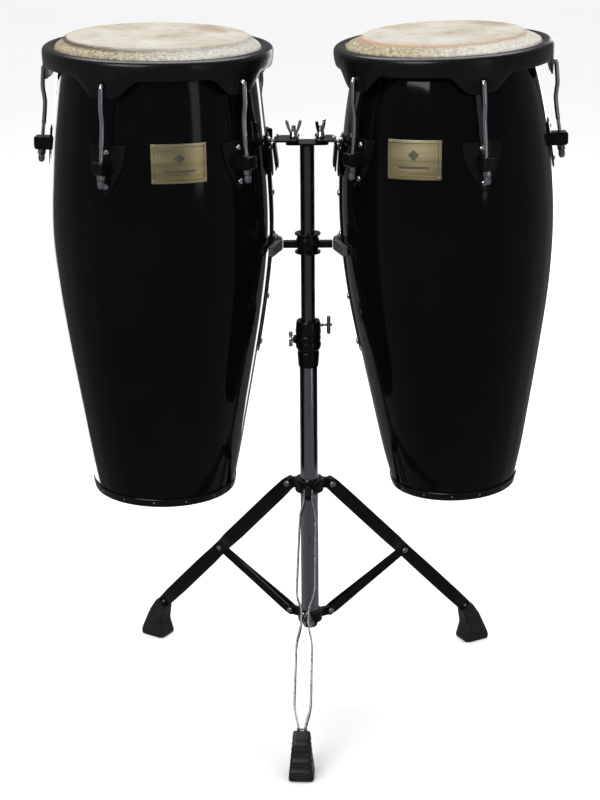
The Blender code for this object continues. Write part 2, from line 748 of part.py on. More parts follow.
def make_hub(stand):
    low, high = HUB_Z
    ear = [(0.0205, low + 0.001), (0.0205, high - 0.003), (0.0400, high - 0.0075), (0.0450, 0.3580),
           (0.0464, 0.3520), (0.0440, 0.3470), (0.0380, 0.3450)]
    hub = make_ring("leg_hub", RING_BORE_R, 0.0230, HUB_Z, ear, HUB_EAR_HALF, HUB_PIVOT, stand)
    turn = Matrix.Rotation(math.radians(90) + TRIPOD_YAW, 4, "Z")
    boss_z = (low + high) / 2
    boss = moved(rod((0.0190, 0, boss_z), (0.0275, 0, boss_z), 0.0070), turn)
    combine(hub, [boss], "UNION")
    bore = moved(rod((0.0180, 0, boss_z), (0.0290, 0, boss_z), SCREW_BORE_R), turn)
    combine(hub, [bore], "DIFFERENCE")
    frame = turn @ Matrix.Translation((0, 0, boss_z))
    wing_screw("hub_bolt", frame, 0.0184, 0.0385, stand)


def make_collar(stand):
    low, high = COLLAR_Z
    ear = [(0.0180, low + 0.001), (0.0180, high - 0.002), (0.0370, 0.1345), (0.0415, 0.1310),
           (0.0425, 0.1255), (0.0395, 0.1215), (0.0350, 0.1200)]
    make_ring("lower_collar", RING_BORE_R, 0.0200, COLLAR_Z, ear, COLLAR_EAR_HALF, LOW_PIVOT, stand)


def linkage_frame(angle, pivot, toward):
    """Frame at a pivot whose +X runs toward another point of the leg's plane, its Y across the plane."""
    turn = Matrix.Rotation(math.radians(angle) + TRIPOD_YAW, 4, "Z")
    tilt = math.atan2(toward[1] - pivot[1], toward[0] - pivot[0])
    return turn @ Matrix.Translation((pivot[0], 0, pivot[1])) @ Matrix.Rotation(-tilt, 4, "Y")


def strap_pair(line, thickness, width):
    """Two mirrored bent straps, each upright in the leg's plane, as separate bmeshes."""
    pair = []
    for side in (1, -1):
        outline = ribbon([(x, y * side) for x, y in line], thickness)
        pair.append(prism(outline, -width / 2, width / 2))
    return pair


def make_leg(name, angle, stand):
    """Two bent straps on one rivet at the hub, pinched together at the brace and at the foot."""
    pivot = empty(name + "_leg_axis", linkage_frame(angle, HUB_PIVOT, MID_PIVOT), stand)
    middle = math.dist(HUB_PIVOT, MID_PIVOT)
    line = [(-0.0100, 0.0062), (0.0120, 0.0062), (0.0330, 0.0122), (middle - 0.034, 0.0142),
            (middle - 0.0125, 0.0053), (middle + 0.0150, 0.0053), (middle + 0.0400, 0.0120),
            (LEG_LENGTH - 0.0370, 0.0126), (LEG_LENGTH - 0.0060, 0.0048), (LEG_LENGTH, 0.0048)]
    first, second = strap_pair(line, LEG_THICKNESS, LEG_WIDTH)
    leg = solid(name + "_leg", first, "black_coat", pivot)
    rivet = rod((0, -0.0085, 0), (0, 0.0085, 0), RIVET_R, 12)
    reach = LEG_WIDTH / 2 - 0.001
    tang = box((LEG_LENGTH - 0.0050, -0.0040, -reach), (LEG_LENGTH - 0.0005, 0.0040, reach))
    return combine(leg, [rivet, second, tang], "UNION")


def make_brace(name, angle, stand):
    """Narrower pair of straps from the lower collar up between the leg's straps."""
    pivot = empty(name + "_brace_axis", linkage_frame(angle, LOW_PIVOT, MID_PIVOT), stand)
    length = math.dist(LOW_PIVOT, MID_PIVOT)
    line = [(-0.0080, 0.0053), (0.0180, 0.0053), (length - 0.0600, 0.0024), (length + 0.0080, 0.0024)]
    first, second = strap_pair(line, BRACE_THICKNESS, BRACE_WIDTH)
    brace = solid(name + "_brace", first, "black_coat", pivot)
    rivet = rod((0, -0.0072, 0), (0, 0.0072, 0), RIVET_R, 12)
    reach = BRACE_WIDTH / 2 - 0.001
    spacer = box((length - 0.0060, -0.0030, -reach), (length + 0.0070, 0.0030, reach))
    return combine(brace, [rivet, second, spacer], "UNION")


def make_foot(name, angle, stand):
    """Rubber boot on the leg's end, with a flat sole, wider at the bottom."""
    turn = Matrix.Rotation(math.radians(angle) + TRIPOD_YAW, 4, "Z")
    pivot = empty(name + "_foot_frame", turn, stand)
    tilt = math.atan2(HUB_PIVOT[1] - MID_PIVOT[1], MID_PIVOT[0] - HUB_PIVOT[0])
    reach = LEG_LENGTH + GAP
    top_r = HUB_PIVOT[0] + reach * math.cos(tilt)
    top_z = HUB_PIVOT[1] - reach * math.sin(tilt)
    half = 0.0112
    across = (math.sin(tilt) * half, math.cos(tilt) * half)
    outline = [(0.2945, SOLE_Z), (0.3390, SOLE_Z), (0.3420, SOLE_Z + 0.004), (0.3405, SOLE_Z + 0.011),
               (0.3225, 0.0640), (top_r + across[0], top_z + across[1]),
               (top_r - across[0], top_z - across[1]), (0.2985, 0.0400), (0.2950, SOLE_Z + 0.013),
               (0.2925, SOLE_Z + 0.005)]
    bm = side_prism(outline, -1.0, 1.0)
    for vert in bm.verts:
        share = min(max((vert.co.z - SOLE_Z) / (top_z - SOLE_Z), 0.0), 1.0)
        vert.co.y *= FOOT_SOLE_HALF + (FOOT_TOP_HALF - FOOT_SOLE_HALF) * share
    return solid(name + "_foot", bm, "rubber", pivot)


def main():
    clear_scene()
    stand = empty("stand_axis", Matrix.Translation((STAND_X, STAND_Y, -SOLE_Z)))
    make_tubes(stand)
    make_height_lock(stand)
    make_t_screw(stand)
    facing_left = Matrix.Translation((0, 0, CLAMP_SCREW_Z)) @ Matrix.Rotation(math.pi, 4, "Z")
    wing_screw("clamp_wing_screw", facing_left, 0.0148, 0.0270, stand)
    make_cradle(stand)
    make_top_plate(stand)
    make_hub(stand)
    make_collar(stand)
    for name, angle in LEG_ANGLES.items():
        make_leg(name, angle, stand)
        make_brace(name, angle, stand)
        make_foot(name, angle, stand)
    for side_name in DRUMS:
        make_arm(side_name, stand)
        make_drum(side_name, stand)
    make_arm_nut("left", math.radians(8), stand)
    make_arm_nut("right", math.radians(55), stand)


main()
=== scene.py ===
"""Looks of a pair of congas on a double stand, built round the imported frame."""

import json
import math

import bmesh
import bpy
from mathutils import Matrix, Vector, noise

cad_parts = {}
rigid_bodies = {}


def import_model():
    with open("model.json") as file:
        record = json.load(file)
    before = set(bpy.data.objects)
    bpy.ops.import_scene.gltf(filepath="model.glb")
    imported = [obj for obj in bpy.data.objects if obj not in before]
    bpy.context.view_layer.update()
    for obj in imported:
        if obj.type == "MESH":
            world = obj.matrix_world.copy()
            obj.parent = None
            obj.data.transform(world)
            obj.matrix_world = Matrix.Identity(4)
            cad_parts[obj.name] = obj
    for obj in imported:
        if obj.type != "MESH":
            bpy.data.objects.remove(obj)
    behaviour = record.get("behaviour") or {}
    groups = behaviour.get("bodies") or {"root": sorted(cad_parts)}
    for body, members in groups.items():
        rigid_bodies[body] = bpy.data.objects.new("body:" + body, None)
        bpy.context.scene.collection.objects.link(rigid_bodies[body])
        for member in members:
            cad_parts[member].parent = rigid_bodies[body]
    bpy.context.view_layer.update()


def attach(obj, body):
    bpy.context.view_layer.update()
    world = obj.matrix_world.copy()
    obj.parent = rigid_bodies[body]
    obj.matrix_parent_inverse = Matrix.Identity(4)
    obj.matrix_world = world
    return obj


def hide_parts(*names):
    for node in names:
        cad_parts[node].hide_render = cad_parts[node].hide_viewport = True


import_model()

# Camera, in the row frame: place, yaw, pitch from straight down, roll, and lens in millimetres
CAMERA_PLACE = (0.0072, -2.7342, 1.4671)
CAMERA_TURN = (0.157, 70.77, -0.46)
CAMERA_LENS = 84.4
SENSOR = 36.0

# The stand's own axes, whose origin is on the pole's axis, in the row frame
STAND = Matrix.Translation((0.0134, 0.0708, -0.0125))
TRIPOD_YAW = math.radians(-2.7)
LEG_ANGLES = {"front": -90.0, "right": 30.0, "left": 150.0}
HUB_PIVOT = (0.0392, 0.3527)
MID_PIVOT = (0.1767, 0.2070)
LOW_PIVOT = (0.0365, 0.1277)
LEG_LENGTH = 0.3812
SOLE_Z = 0.0125
NUT_TURN = {"left": math.radians(8), "right": math.radians(55)}
HUB_Z = (0.348, 0.3695)
COLLAR_Z = (0.1185, 0.1370)
T_SCREW_Z = 0.6256
CLAMP_SCREW_Z = 0.6025
CRADLE_Z = 0.7557
UPPER_BORE = 0.0114
STUD_D = 0.0204
PLATE_Z = (0.9123, 0.9153)
STRAP_Z = (0.9178, 0.9208)
NUT_Z = 0.9211

HEAD_Z = 0.711
SHELL_TOP = 0.708
LUG_COUNT = 5
WALL = 0.010
STAVES = 24
COLLAR_INSET = 0.0185
EAR_HOLE_Z = -0.0490
BOX_Z = (-0.1755, -0.1555)

DRUMS = {
    "left": {
        "pole_side": 1, "base": (-0.2311, 0.0, 0.3654), "lean": math.radians(0.85),
        "flat_r": 0.1385, "rim_r": 0.172, "lug_angle": -23.6, "badge_angle": 14.0,
        "hook_slope": 0.145, "plate_thickness": 0.0025,
        "profile": [(0.110, 0.0), (0.1212, 0.06), (0.1312, 0.12), (0.1508, 0.24), (0.1632, 0.33),
                    (0.170, 0.42), (0.1655, 0.52), (0.1575, 0.60), (0.1495, 0.66), (0.1375, SHELL_TOP)],
    },
    "right": {
        "pole_side": -1, "base": (0.2306, 0.0, 0.3674), "lean": math.radians(-2.25),
        "flat_r": 0.1227, "rim_r": 0.164, "lug_angle": 15.7, "badge_angle": -21.1,
        "hook_slope": 0.124, "plate_thickness": 0.0015,
        "profile": [(0.0965, 0.0), (0.110, 0.058), (0.1213, 0.119), (0.1422, 0.238), (0.1560, 0.33),
                    (0.1625, 0.42), (0.1605, 0.505), (0.1521, 0.579), (0.1400, 0.645), (0.1217, SHELL_TOP)],
    },
}


# ---------------------------------------------------------------- materials

def new_material(name):
    """A material with its nodes, links and main shader."""
    mat = bpy.data.materials.new(name)
    mat.use_nodes = True
    nodes = mat.node_tree.nodes
    return mat, nodes, mat.node_tree.links, nodes["Principled BSDF"]


def coordinates(nodes, links, stretch=(1, 1, 1)):
    """Object coordinates, so that the look moves with the piece."""
    place = nodes.new("ShaderNodeTexCoord")
    mapping = nodes.new("ShaderNodeMapping")
    mapping.inputs["Scale"].default_value = stretch
    links.new(place.outputs["Object"], mapping.inputs["Vector"])
    return mapping.outputs["Vector"]


def noise_node(nodes, links, vector, scale, detail=4.0, rough=0.55):
    tex = nodes.new("ShaderNodeTexNoise")
    tex.inputs["Scale"].default_value = scale
    tex.inputs["Detail"].default_value = detail
    tex.inputs["Roughness"].default_value = rough
    links.new(vector, tex.inputs["Vector"])
    return tex.outputs["Fac"]


def ramp_node(nodes, links, value, stops):
    ramp = nodes.new("ShaderNodeValToRGB")
    while len(ramp.color_ramp.elements) < len(stops):
        ramp.color_ramp.elements.new(0.5)
    for element, (position, colour) in zip(ramp.color_ramp.elements, stops):
        element.position = position
        element.color = (*colour, 1.0)
    links.new(value, ramp.inputs["Fac"])
    return ramp.outputs["Color"]


def spread(nodes, links, value, low, high, start=0.3, end=0.7):
    """Map a value from start..end to low..high."""
    remap = nodes.new("ShaderNodeMapRange")
    remap.inputs["From Min"].default_value = start
    remap.inputs["From Max"].default_value = end
    remap.inputs["To Min"].default_value = low
    remap.inputs["To Max"].default_value = high
    links.new(value, remap.inputs["Value"])
    return remap.outputs["Result"]


def bump_node(nodes, links, height, strength, distance, normal=None):
    bump = nodes.new("ShaderNodeBump")
    bump.inputs["Strength"].default_value = strength
    bump.inputs["Distance"].default_value = distance
    links.new(height, bump.inputs["Height"])
    if normal:
        links.new(normal, bump.inputs["Normal"])
    return bump.outputs["Normal"]


def surface(name, dark, light, scale, roughness, metallic=0.0, bump=(0.1, 0.0002, 600.0),
            stretch=(1, 1, 1), specular=0.5):
    """Noise-mottled finish: colour from dark to light, roughness from low to high, and a fine bump."""
    mat, nodes, links, shader = new_material(name)
    vector = coordinates(nodes, links, stretch)
    shader.inputs["Metallic"].default_value = metallic
    shader.inputs["Specular IOR Level"].default_value = specular
    broad = noise_node(nodes, links, vector, scale)
    links.new(ramp_node(nodes, links, broad, [(0.3, dark), (0.7, light)]), shader.inputs["Base Color"])
    smudge = noise_node(nodes, links, vector, scale * 2.7, 6.0, 0.65)
    links.new(spread(nodes, links, smudge, *roughness), shader.inputs["Roughness"])
    strength, distance, fine = bump
    grain = noise_node(nodes, links, vector, fine, 3.0)
    links.new(bump_node(nodes, links, grain, strength, distance), shader.inputs["Normal"])
    return mat


def lacquer_material():
    """Thick black lacquer: almost mirror smooth, with soft waves and a few finer specks."""
    mat, nodes, links, shader = new_material("black_lacquer")
    vector = coordinates(nodes, links)
    shader.inputs["Specular IOR Level"].default_value = 0.22
    broad = noise_node(nodes, links, vector, 5.0)
    colours = [(0.3, (0.0010, 0.0010, 0.0013)), (0.7, (0.0022, 0.0021, 0.0026))]
    links.new(ramp_node(nodes, links, broad, colours), shader.inputs["Base Color"])
    haze = noise_node(nodes, links, vector, 14.0, 8.0, 0.7)
    links.new(spread(nodes, links, haze, 0.035, 0.11), shader.inputs["Roughness"])
    waves = coordinates(nodes, links, (1, 1, 0.22))
    wave = noise_node(nodes, links, waves, 26.0, 2.0)
    normal = bump_node(nodes, links, wave, 0.35, 0.0008)
    peel = noise_node(nodes, links, vector, 420.0, 2.0)
    links.new(bump_node(nodes, links, peel, 0.06, 0.00012, normal), shader.inputs["Normal"])
    return mat


def mix_colours(nodes, links, factor, first, second, blend="MIX"):
    mix = nodes.new("ShaderNodeMix")
    mix.data_type = "RGBA"
    mix.blend_type = blend
    for value, socket in ((factor, mix.inputs["Factor"]), (first, mix.inputs[6]), (second, mix.inputs[7])):
        if isinstance(value, float):
            socket.default_value = value
        elif isinstance(value, tuple):
            socket.default_value = (*value, 1.0)
        else:
            links.new(value, socket)
    return mix.outputs[2]


def maths(nodes, links, operation, *values):
    node = nodes.new("ShaderNodeMath")
    node.operation = operation
    for value, socket in zip(values, node.inputs):
        if isinstance(value, float):
            socket.default_value = value
        else:
            links.new(value, socket)
    return node.outputs["Value"]


def hide_material(flat_r, side):
    """Natural hide: mottled cream, a stained bearing edge, a freckled collar, and short fibres."""
    mat, nodes, links, shader = new_material(side + "_rawhide")
    vector = coordinates(nodes, links)
    split = nodes.new("ShaderNodeSeparateXYZ")
    links.new(vector, split.inputs["Vector"])
    square = maths(nodes, links, "ADD",
                   maths(nodes, links, "MULTIPLY", split.outputs["X"], split.outputs["X"]),
                   maths(nodes, links, "MULTIPLY", split.outputs["Y"], split.outputs["Y"]))
    wobble = noise_node(nodes, links, vector, 60.0, 6.0, 0.6)
    radius = maths(nodes, links, "MULTIPLY_ADD", wobble, 0.007, maths(nodes, links, "SQRT", square))
    radius = maths(nodes, links, "SUBTRACT", radius, 0.0035)
    cloud = noise_node(nodes, links, vector, 9.0, 8.0, 0.62)
    base = ramp_node(nodes, links, cloud, [(0.28, (0.235, 0.185, 0.130)), (0.42, (0.315, 0.280, 0.225)),
                                           (0.55, (0.365, 0.345, 0.300)), (0.72, (0.405, 0.395, 0.360))])
    speck = noise_node(nodes, links, vector, 60.0, 6.0, 0.75)
    speckle = ramp_node(nodes, links, speck, [(0.30, (0.50, 0.40, 0.30)), (0.46, (1.0, 1.0, 1.0))])
    flat = mix_colours(nodes, links, 0.35, base, speckle, "MULTIPLY")
    fleck = noise_node(nodes, links, vector, 210.0, 5.0, 0.8)
    tan = ramp_node(nodes, links, fleck, [(0.33, (0.060, 0.045, 0.022)), (0.47, (0.20, 0.165, 0.095)),
                                          (0.62, (0.38, 0.345, 0.255))])
    pale = ramp_node(nodes, links, fleck, [(0.33, (0.22, 0.20, 0.165)), (0.60, (0.44, 0.43, 0.39))])
    sideways = spread(nodes, links, split.outputs["X"], 0.0, 1.0, -0.06, 0.05)
    collar = mix_colours(nodes, links, sideways, tan, pale)
    outside = spread(nodes, links, radius, 0.0, 1.0, flat_r - 0.001, flat_r + 0.001)
    skin = mix_colours(nodes, links, outside, flat, collar)
    edge = spread(nodes, links,
                  maths(nodes, links, "ABSOLUTE", maths(nodes, links, "SUBTRACT", radius, flat_r)),
                  1.0, 0.0, 0.0008, 0.0048)
    if side == "left":
        stain, fade = (0.050, 0.026, 0.016), (0.9, 0.25)
    else:
        stain, fade = (0.33, 0.185, 0.095), (0.75, 0.45)
    strength = maths(nodes, links, "MULTIPLY", edge,
                     spread(nodes, links, split.outputs["X"], *fade, -0.09, 0.03))
    links.new(mix_colours(nodes, links, strength, skin, stain), shader.inputs["Base Color"])
    links.new(spread(nodes, links, speck, 0.45, 0.72), shader.inputs["Roughness"])
    shader.inputs["Specular IOR Level"].default_value = 0.25
    fibre = noise_node(nodes, links, coordinates(nodes, links, (1, 0.35, 1)), 520.0, 4.0, 0.7)
    normal = bump_node(nodes, links, fibre, 0.35, 0.0004)
    links.new(bump_node(nodes, links, cloud, 0.25, 0.0012, normal), shader.inputs["Normal"])
    return mat


def ribbed_material():
    """Grey rubber with moulded ribs that run round the pad; the colour has painted shade in the rib troughs
    and painted highlight on the crests.
    """
    mat, nodes, links, shader = new_material("pad_rubber")
    vector = coordinates(nodes, links)
    wave = nodes.new("ShaderNodeTexWave")
    wave.bands_direction = "Z"
    wave.inputs["Scale"].default_value = 78.0
    wave.inputs["Distortion"].default_value = 0.4
    links.new(vector, wave.inputs["Vector"])
    # Painted shade and highlight: the colour follows the rib wave, dark in the troughs and lighter on the
    # crests.
    colours = [(0.25, (0.010, 0.010, 0.011)), (0.75, (0.085, 0.087, 0.092))]
    links.new(ramp_node(nodes, links, wave.outputs["Fac"], colours), shader.inputs["Base Color"])
    dust = noise_node(nodes, links, vector, 160.0, 5.0, 0.7)
    links.new(spread(nodes, links, dust, 0.38, 0.6), shader.inputs["Roughness"])
    normal = bump_node(nodes, links, wave.outputs["Fac"], 0.8, 0.0008)
    links.new(bump_node(nodes, links, dust, 0.2, 0.0002, normal), shader.inputs["Normal"])
    return mat


MATERIALS = {
    "lacquer": lacquer_material(),
    "wood_inside": surface("wood_inside", (0.16, 0.09, 0.045), (0.34, 0.21, 0.115), 14.0, (0.5, 0.75),
                           bump=(0.4, 0.0006, 90.0), stretch=(1, 1, 0.06)),
    "black_coat": surface("black_coat", (0.0022, 0.0022, 0.0024), (0.0046, 0.0045, 0.0046), 30.0,
                          (0.24, 0.40), 0.0, (0.16, 0.00018, 900.0), specular=0.3),
    "black_gloss": surface("black_gloss", (0.0018, 0.0018, 0.0020), (0.0038, 0.0037, 0.0038), 24.0,
                           (0.14, 0.26), 0.0, (0.10, 0.00012, 900.0), specular=0.3),
    "rim_coat": surface("rim_coat", (0.0018, 0.0017, 0.0020), (0.0038, 0.0036, 0.0040), 26.0,
                        (0.22, 0.36), 0.0, (0.22, 0.00022, 700.0), specular=0.4),
    "chrome": surface("chrome", (0.74, 0.75, 0.77), (0.92, 0.93, 0.95), 22.0, (0.09, 0.19), 1.0,
                      (0.04, 0.0001, 300.0)),
    "tube_chrome": surface("tube_chrome", (0.42, 0.43, 0.45), (0.62, 0.63, 0.65), 9.0, (0.12, 0.24), 1.0,
                           (0.05, 0.0001, 260.0), stretch=(1, 1, 0.15)),
    "dark_chrome": surface("dark_chrome", (0.15, 0.155, 0.16), (0.27, 0.275, 0.28), 9.0, (0.20, 0.32), 1.0,
                           (0.05, 0.0001, 260.0), stretch=(1, 1, 0.15)),
    "steel": surface("steel", (0.38, 0.38, 0.38), (0.60, 0.60, 0.59), 40.0, (0.22, 0.38), 1.0,
                     (0.10, 0.00015, 500.0)),
    # Bright steel for the band nails; on the front leg's and front brace's strap edges it is a painted
    # highlight.
    "steel_and_edge_highlight": surface("steel_and_edge_highlight", (0.55, 0.56, 0.57), (0.80, 0.81, 0.82), 60.0, (0.22, 0.36), 1.0,
                          (0.10, 0.00015, 500.0)),
    "brass": surface("brass", (0.66, 0.52, 0.24), (0.88, 0.76, 0.46), 3.0, (0.26, 0.40), 1.0,
                     (0.16, 0.00012, 90.0), stretch=(1, 1, 26)),
    "brass_dark": surface("brass_dark", (0.05, 0.045, 0.03), (0.10, 0.09, 0.06), 40.0, (0.4, 0.55), 0.3,
                          (0.10, 0.0001, 500.0)),
    "rubber": surface("rubber", (0.0045, 0.0047, 0.0052), (0.0120, 0.0125, 0.0132), 60.0, (0.30, 0.46), 0.0,
                      (0.30, 0.00025, 480.0), specular=0.45),
    "pad_rubber": ribbed_material(),
    "rod_tip": surface("rod_tip", (0.030, 0.034, 0.045), (0.060, 0.066, 0.080), 90.0, (0.35, 0.5), 0.0,
                       (0.15, 0.00015, 500.0)),
}


# ---------------------------------------------------------------- shape helpers

def finish_piece(name, bm, material, body, place=None, angle=40.0, bevel=0.0, segments=2):
    """Make a shown piece from a bmesh, put it in place and let it ride on a CAD body."""
    bmesh.ops.recalc_face_normals(bm, faces=bm.faces)
    mesh = bpy.data.meshes.new(name)
    bm.to_mesh(mesh)
    bm.free()
    mesh.shade_smooth()
    mesh.set_sharp_from_angle(angle=math.radians(angle))
    mesh.materials.append(MATERIALS.get(material, material))
    obj = bpy.data.objects.new(name, mesh)
    bpy.context.collection.objects.link(obj)
    obj.matrix_world = place if place is not None else STAND
    if bevel:
        rounding = obj.modifiers.new("bevel", "BEVEL")
        rounding.width = bevel
        rounding.segments = segments
        rounding.limit_method = "ANGLE"
        rounding.angle_limit = math.radians(35)
        rounding.harden_normals = True
    bpy.context.view_layer.update()
    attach(obj, body)
    return obj


def cut(obj, tools):
    """Cut tool shapes out of a piece's mesh, before its bevel."""
    for bm in tools:
        bmesh.ops.recalc_face_normals(bm, faces=bm.faces)
        mesh = bpy.data.meshes.new("tool")
        bm.to_mesh(mesh)
        bm.free()
        tool = bpy.data.objects.new("tool", mesh)
        bpy.context.collection.objects.link(tool)
        tool.matrix_world = obj.matrix_world
        change = obj.modifiers.new("cut", "BOOLEAN")
        change.operation = "DIFFERENCE"
        change.solver = "EXACT"
        change.object = tool
        bevels = [modifier for modifier in obj.modifiers if modifier.type == "BEVEL"]
        for modifier in bevels:
            modifier.show_viewport = False
        bpy.context.view_layer.update()
        graph = bpy.context.evaluated_depsgraph_get()
        result = bpy.data.meshes.new_from_object(obj.evaluated_get(graph))
        obj.modifiers.remove(change)
        for modifier in bevels:
            modifier.show_viewport = True
        obj.data = result
        bpy.data.objects.remove(tool, do_unlink=True)
    while len(obj.data.materials) > 1:
        obj.data.materials.pop()
    obj.data.shade_smooth()
    obj.data.set_sharp_from_angle(angle=math.radians(40))
    return obj


def smooth_radius(profile, z):
    """Radius at height z on the smooth curve through the (radius, height) points."""
    last = len(profile) - 2
    index = 0
    while index < last and z > profile[index + 1][1]:
        index += 1
    before = profile[max(index - 1, 0)]
    start = profile[index]
    end = profile[index + 1]
    after = profile[min(index + 2, len(profile) - 1)]
    span = end[1] - start[1]
    slope_start = (end[0] - before[0]) / (end[1] - before[1])
    slope_end = (after[0] - start[0]) / (after[1] - start[1])
    t = (z - start[1]) / span
    keep_start = 2 * t ** 3 - 3 * t ** 2 + 1
    keep_end = 3 * t ** 2 - 2 * t ** 3
    lead = (t ** 3 - 2 * t ** 2 + t) * span * slope_start
    tail = (t ** 3 - t ** 2) * span * slope_end
    return keep_start * start[0] + keep_end * end[0] + lead + tail


def smooth_line(points, steps):
    """More points on a smooth curve through the given ones, of any number of values each."""
    result = []
    for index in range(len(points) - 1):
        p1, p2 = points[index], points[index + 1]
        p0 = points[max(index - 1, 0)]
        p3 = points[min(index + 2, len(points) - 1)]
        for step in range(steps):
            t = step / steps
            values = []
            for a, b, c, d in zip(p0, p1, p2, p3):
                values.append(0.5 * (2 * b + (c - a) * t + (2 * a - 5 * b + 4 * c - d) * t * t
                                     + (3 * b - a - 3 * c + d) * t ** 3))
            result.append(tuple(values))
    result.append(tuple(points[-1]))
    return result


def rounded(points, radius, steps=4):
    """Round each inner corner of an open line of 2-D points with an arc-like curve."""
    result = [points[0]]
    for before, corner, after in zip(points, points[1:], points[2:]):
        a, b, c = Vector(before), Vector(corner), Vector(after)
        reach = min(radius, (a - b).length * 0.45, (c - b).length * 0.45)
        start = b + (a - b).normalized() * reach
        end = b + (c - b).normalized() * reach
        for step in range(steps + 1):
            t = step / steps
            result.append(tuple(start * (1 - t) ** 2 + b * 2 * t * (1 - t) + end * t ** 2))
    result.append(points[-1])
    return result


def rounded_loop(points, radius, steps=4):
    """Round every corner of a closed outline of 2-D points."""
    result = []
    count = len(points)
    for index in range(count):
        a, b, c = Vector(points[index - 1]), Vector(points[index]), Vector(points[(index + 1) % count])
        reach = min(radius, (a - b).length * 0.45, (c - b).length * 0.45)
        start = b + (a - b).normalized() * reach
        end = b + (c - b).normalized() * reach
        for step in range(steps + 1):
            t = step / steps
            result.append(tuple(start * (1 - t) ** 2 + b * 2 * t * (1 - t) + end * t ** 2))
    return result


def revolve(outline, sides, warp=None):
    """Turn (radius, height) points round Z. The outline closes itself, or starts and ends on the axis."""
    bm = bmesh.new()
    rings = []
    for radius, z in outline:
        if radius < 1e-6:
            rings.append([bm.verts.new((0, 0, z))] * sides)
            continue
        ring = []
        for step in range(sides):
            angle = 2 * math.pi * step / sides
            reach = warp(radius, angle, z) if warp else radius
            ring.append(bm.verts.new((reach * math.cos(angle), reach * math.sin(angle), z)))
        rings.append(ring)
    pairs = list(zip(rings, rings[1:]))
    if outline[0][0] > 1e-6:
        pairs.append((rings[-1], rings[0]))
    for low, high in pairs:
        for step in range(sides):
            following = (step + 1) % sides
            corners = dict.fromkeys([low[step], low[following], high[following], high[step]])
            bm.faces.new(list(corners))
    return bm


def prism(outline, low, high):
    bm = bmesh.new()
    bottom = [bm.verts.new((x, y, low)) for x, y in outline]
    top = [bm.verts.new((x, y, high)) for x, y in outline]
    bm.faces.new(list(reversed(bottom)))
    bm.faces.new(top)
    for index in range(len(outline)):
        following = (index + 1) % len(outline)
        bm.faces.new([bottom[index], bottom[following], top[following], top[index]])
    return bm


def side_prism(outline, low, high):
    """Extrude a closed (x, z) outline along Y."""
    bm = prism(outline, low, high)
    turn = Matrix(((1, 0, 0, 0), (0, 0, 1, 0), (0, 1, 0, 0), (0, 0, 0, 1)))
    bmesh.ops.transform(bm, matrix=turn, verts=bm.verts)
    return bm


def box(low, high):
    outline = [(low[0], low[1]), (high[0], low[1]), (high[0], high[1]), (low[0], high[1])]
    return prism(outline, low[2], high[2])


def sweep(points, radii, sides):
    """A closed round bar along the points, with a radius at each."""
    bm = bmesh.new()
    points = [Vector(point) for point in points]
    rings = []
    normal = None
    for index, point in enumerate(points):
        before = points[max(index - 1, 0)]
        after = points[min(index + 1, len(points) - 1)]
        along = (after - before).normalized()
        if normal is None:
            normal = along.orthogonal()
        normal = (normal - along * normal.dot(along)).normalized()
        across = along.cross(normal)
        ring = []
        for step in range(sides):
            angle = 2 * math.pi * (step + 0.5) / sides
            offset = normal * math.cos(angle) + across * math.sin(angle)
            ring.append(bm.verts.new(point + offset * radii[index]))
        rings.append(ring)
    for low, high in zip(rings, rings[1:]):
        for step in range(sides):
            following = (step + 1) % sides
            bm.faces.new([low[step], low[following], high[following], high[step]])
    bm.faces.new(list(reversed(rings[0])))
    bm.faces.new(rings[-1])
    return bm


def merge(parts):
    """One bmesh from several."""
    total = bmesh.new()
    for bm in parts:
        mesh = bpy.data.meshes.new("part")
        bm.to_mesh(mesh)
        bm.free()
        total.from_mesh(mesh)
        bpy.data.meshes.remove(mesh)
    return total


def moved(bm, matrix):
    bmesh.ops.transform(bm, matrix=matrix, verts=bm.verts)
    return bm


def ribbon(points, thickness):
    """Closed outline of a strip of even thickness that follows a line of 2-D points."""
    left = []
    right = []
    for index, point in enumerate(points):
        here = Vector(point)
        back = (here - Vector(points[index - 1])).normalized() if index > 0 else None
        ahead = (Vector(points[index + 1]) - here).normalized() if index < len(points) - 1 else None
        back = back or ahead
        ahead = ahead or back
        normal_back = Vector((-back.y, back.x))
        normal_ahead = Vector((-ahead.y, ahead.x))
        mitre = (normal_back + normal_ahead).normalized()
        reach = thickness / 2 / mitre.dot(normal_ahead)
        left.append(tuple(here + mitre * reach))
        right.append(tuple(here - mitre * reach))
    return left + right[::-1]


def arc(centre, radius, start, end, steps):
    points = []
    for step in range(steps + 1):
        angle = math.radians(start + (end - start) * step / steps)
        points.append((centre[0] + radius * math.cos(angle), centre[1] + radius * math.sin(angle)))
    return points


def compass(angle):
    """Turn a bearing, in degrees from the front with + to the right, into a turn about Z from +X."""
    return math.radians(angle - 90.0)


def along_x(bm):
    """Stand a shape that was turned round Z on its side, so that its axis runs along X."""
    return moved(bm, Matrix.Rotation(math.radians(90), 4, "Y"))


def screw_head(radius, height, slot=True):
    """Round-headed screw with a cross recess, its axis along X and its seat at x = 0."""
    outline = [(0.0, height)]
    for point in arc((0.0, 0.0), 1.0, 80, 8, 6):
        outline.append((radius * point[0], height * point[1]))
    outline += [(radius, 0.0), (0.0, 0.0)]
    bm = revolve([(r, z) for r, z in outline], 20)
    if slot:
        for vert in bm.verts:
            reach = math.hypot(vert.co.x, vert.co.y)
            arm = min(abs(vert.co.x), abs(vert.co.y))
            if vert.co.z > height * 0.5 and reach < radius * 0.62 and arm < radius * 0.16:
                vert.co.z -= height * 0.35
    return along_x(bm)


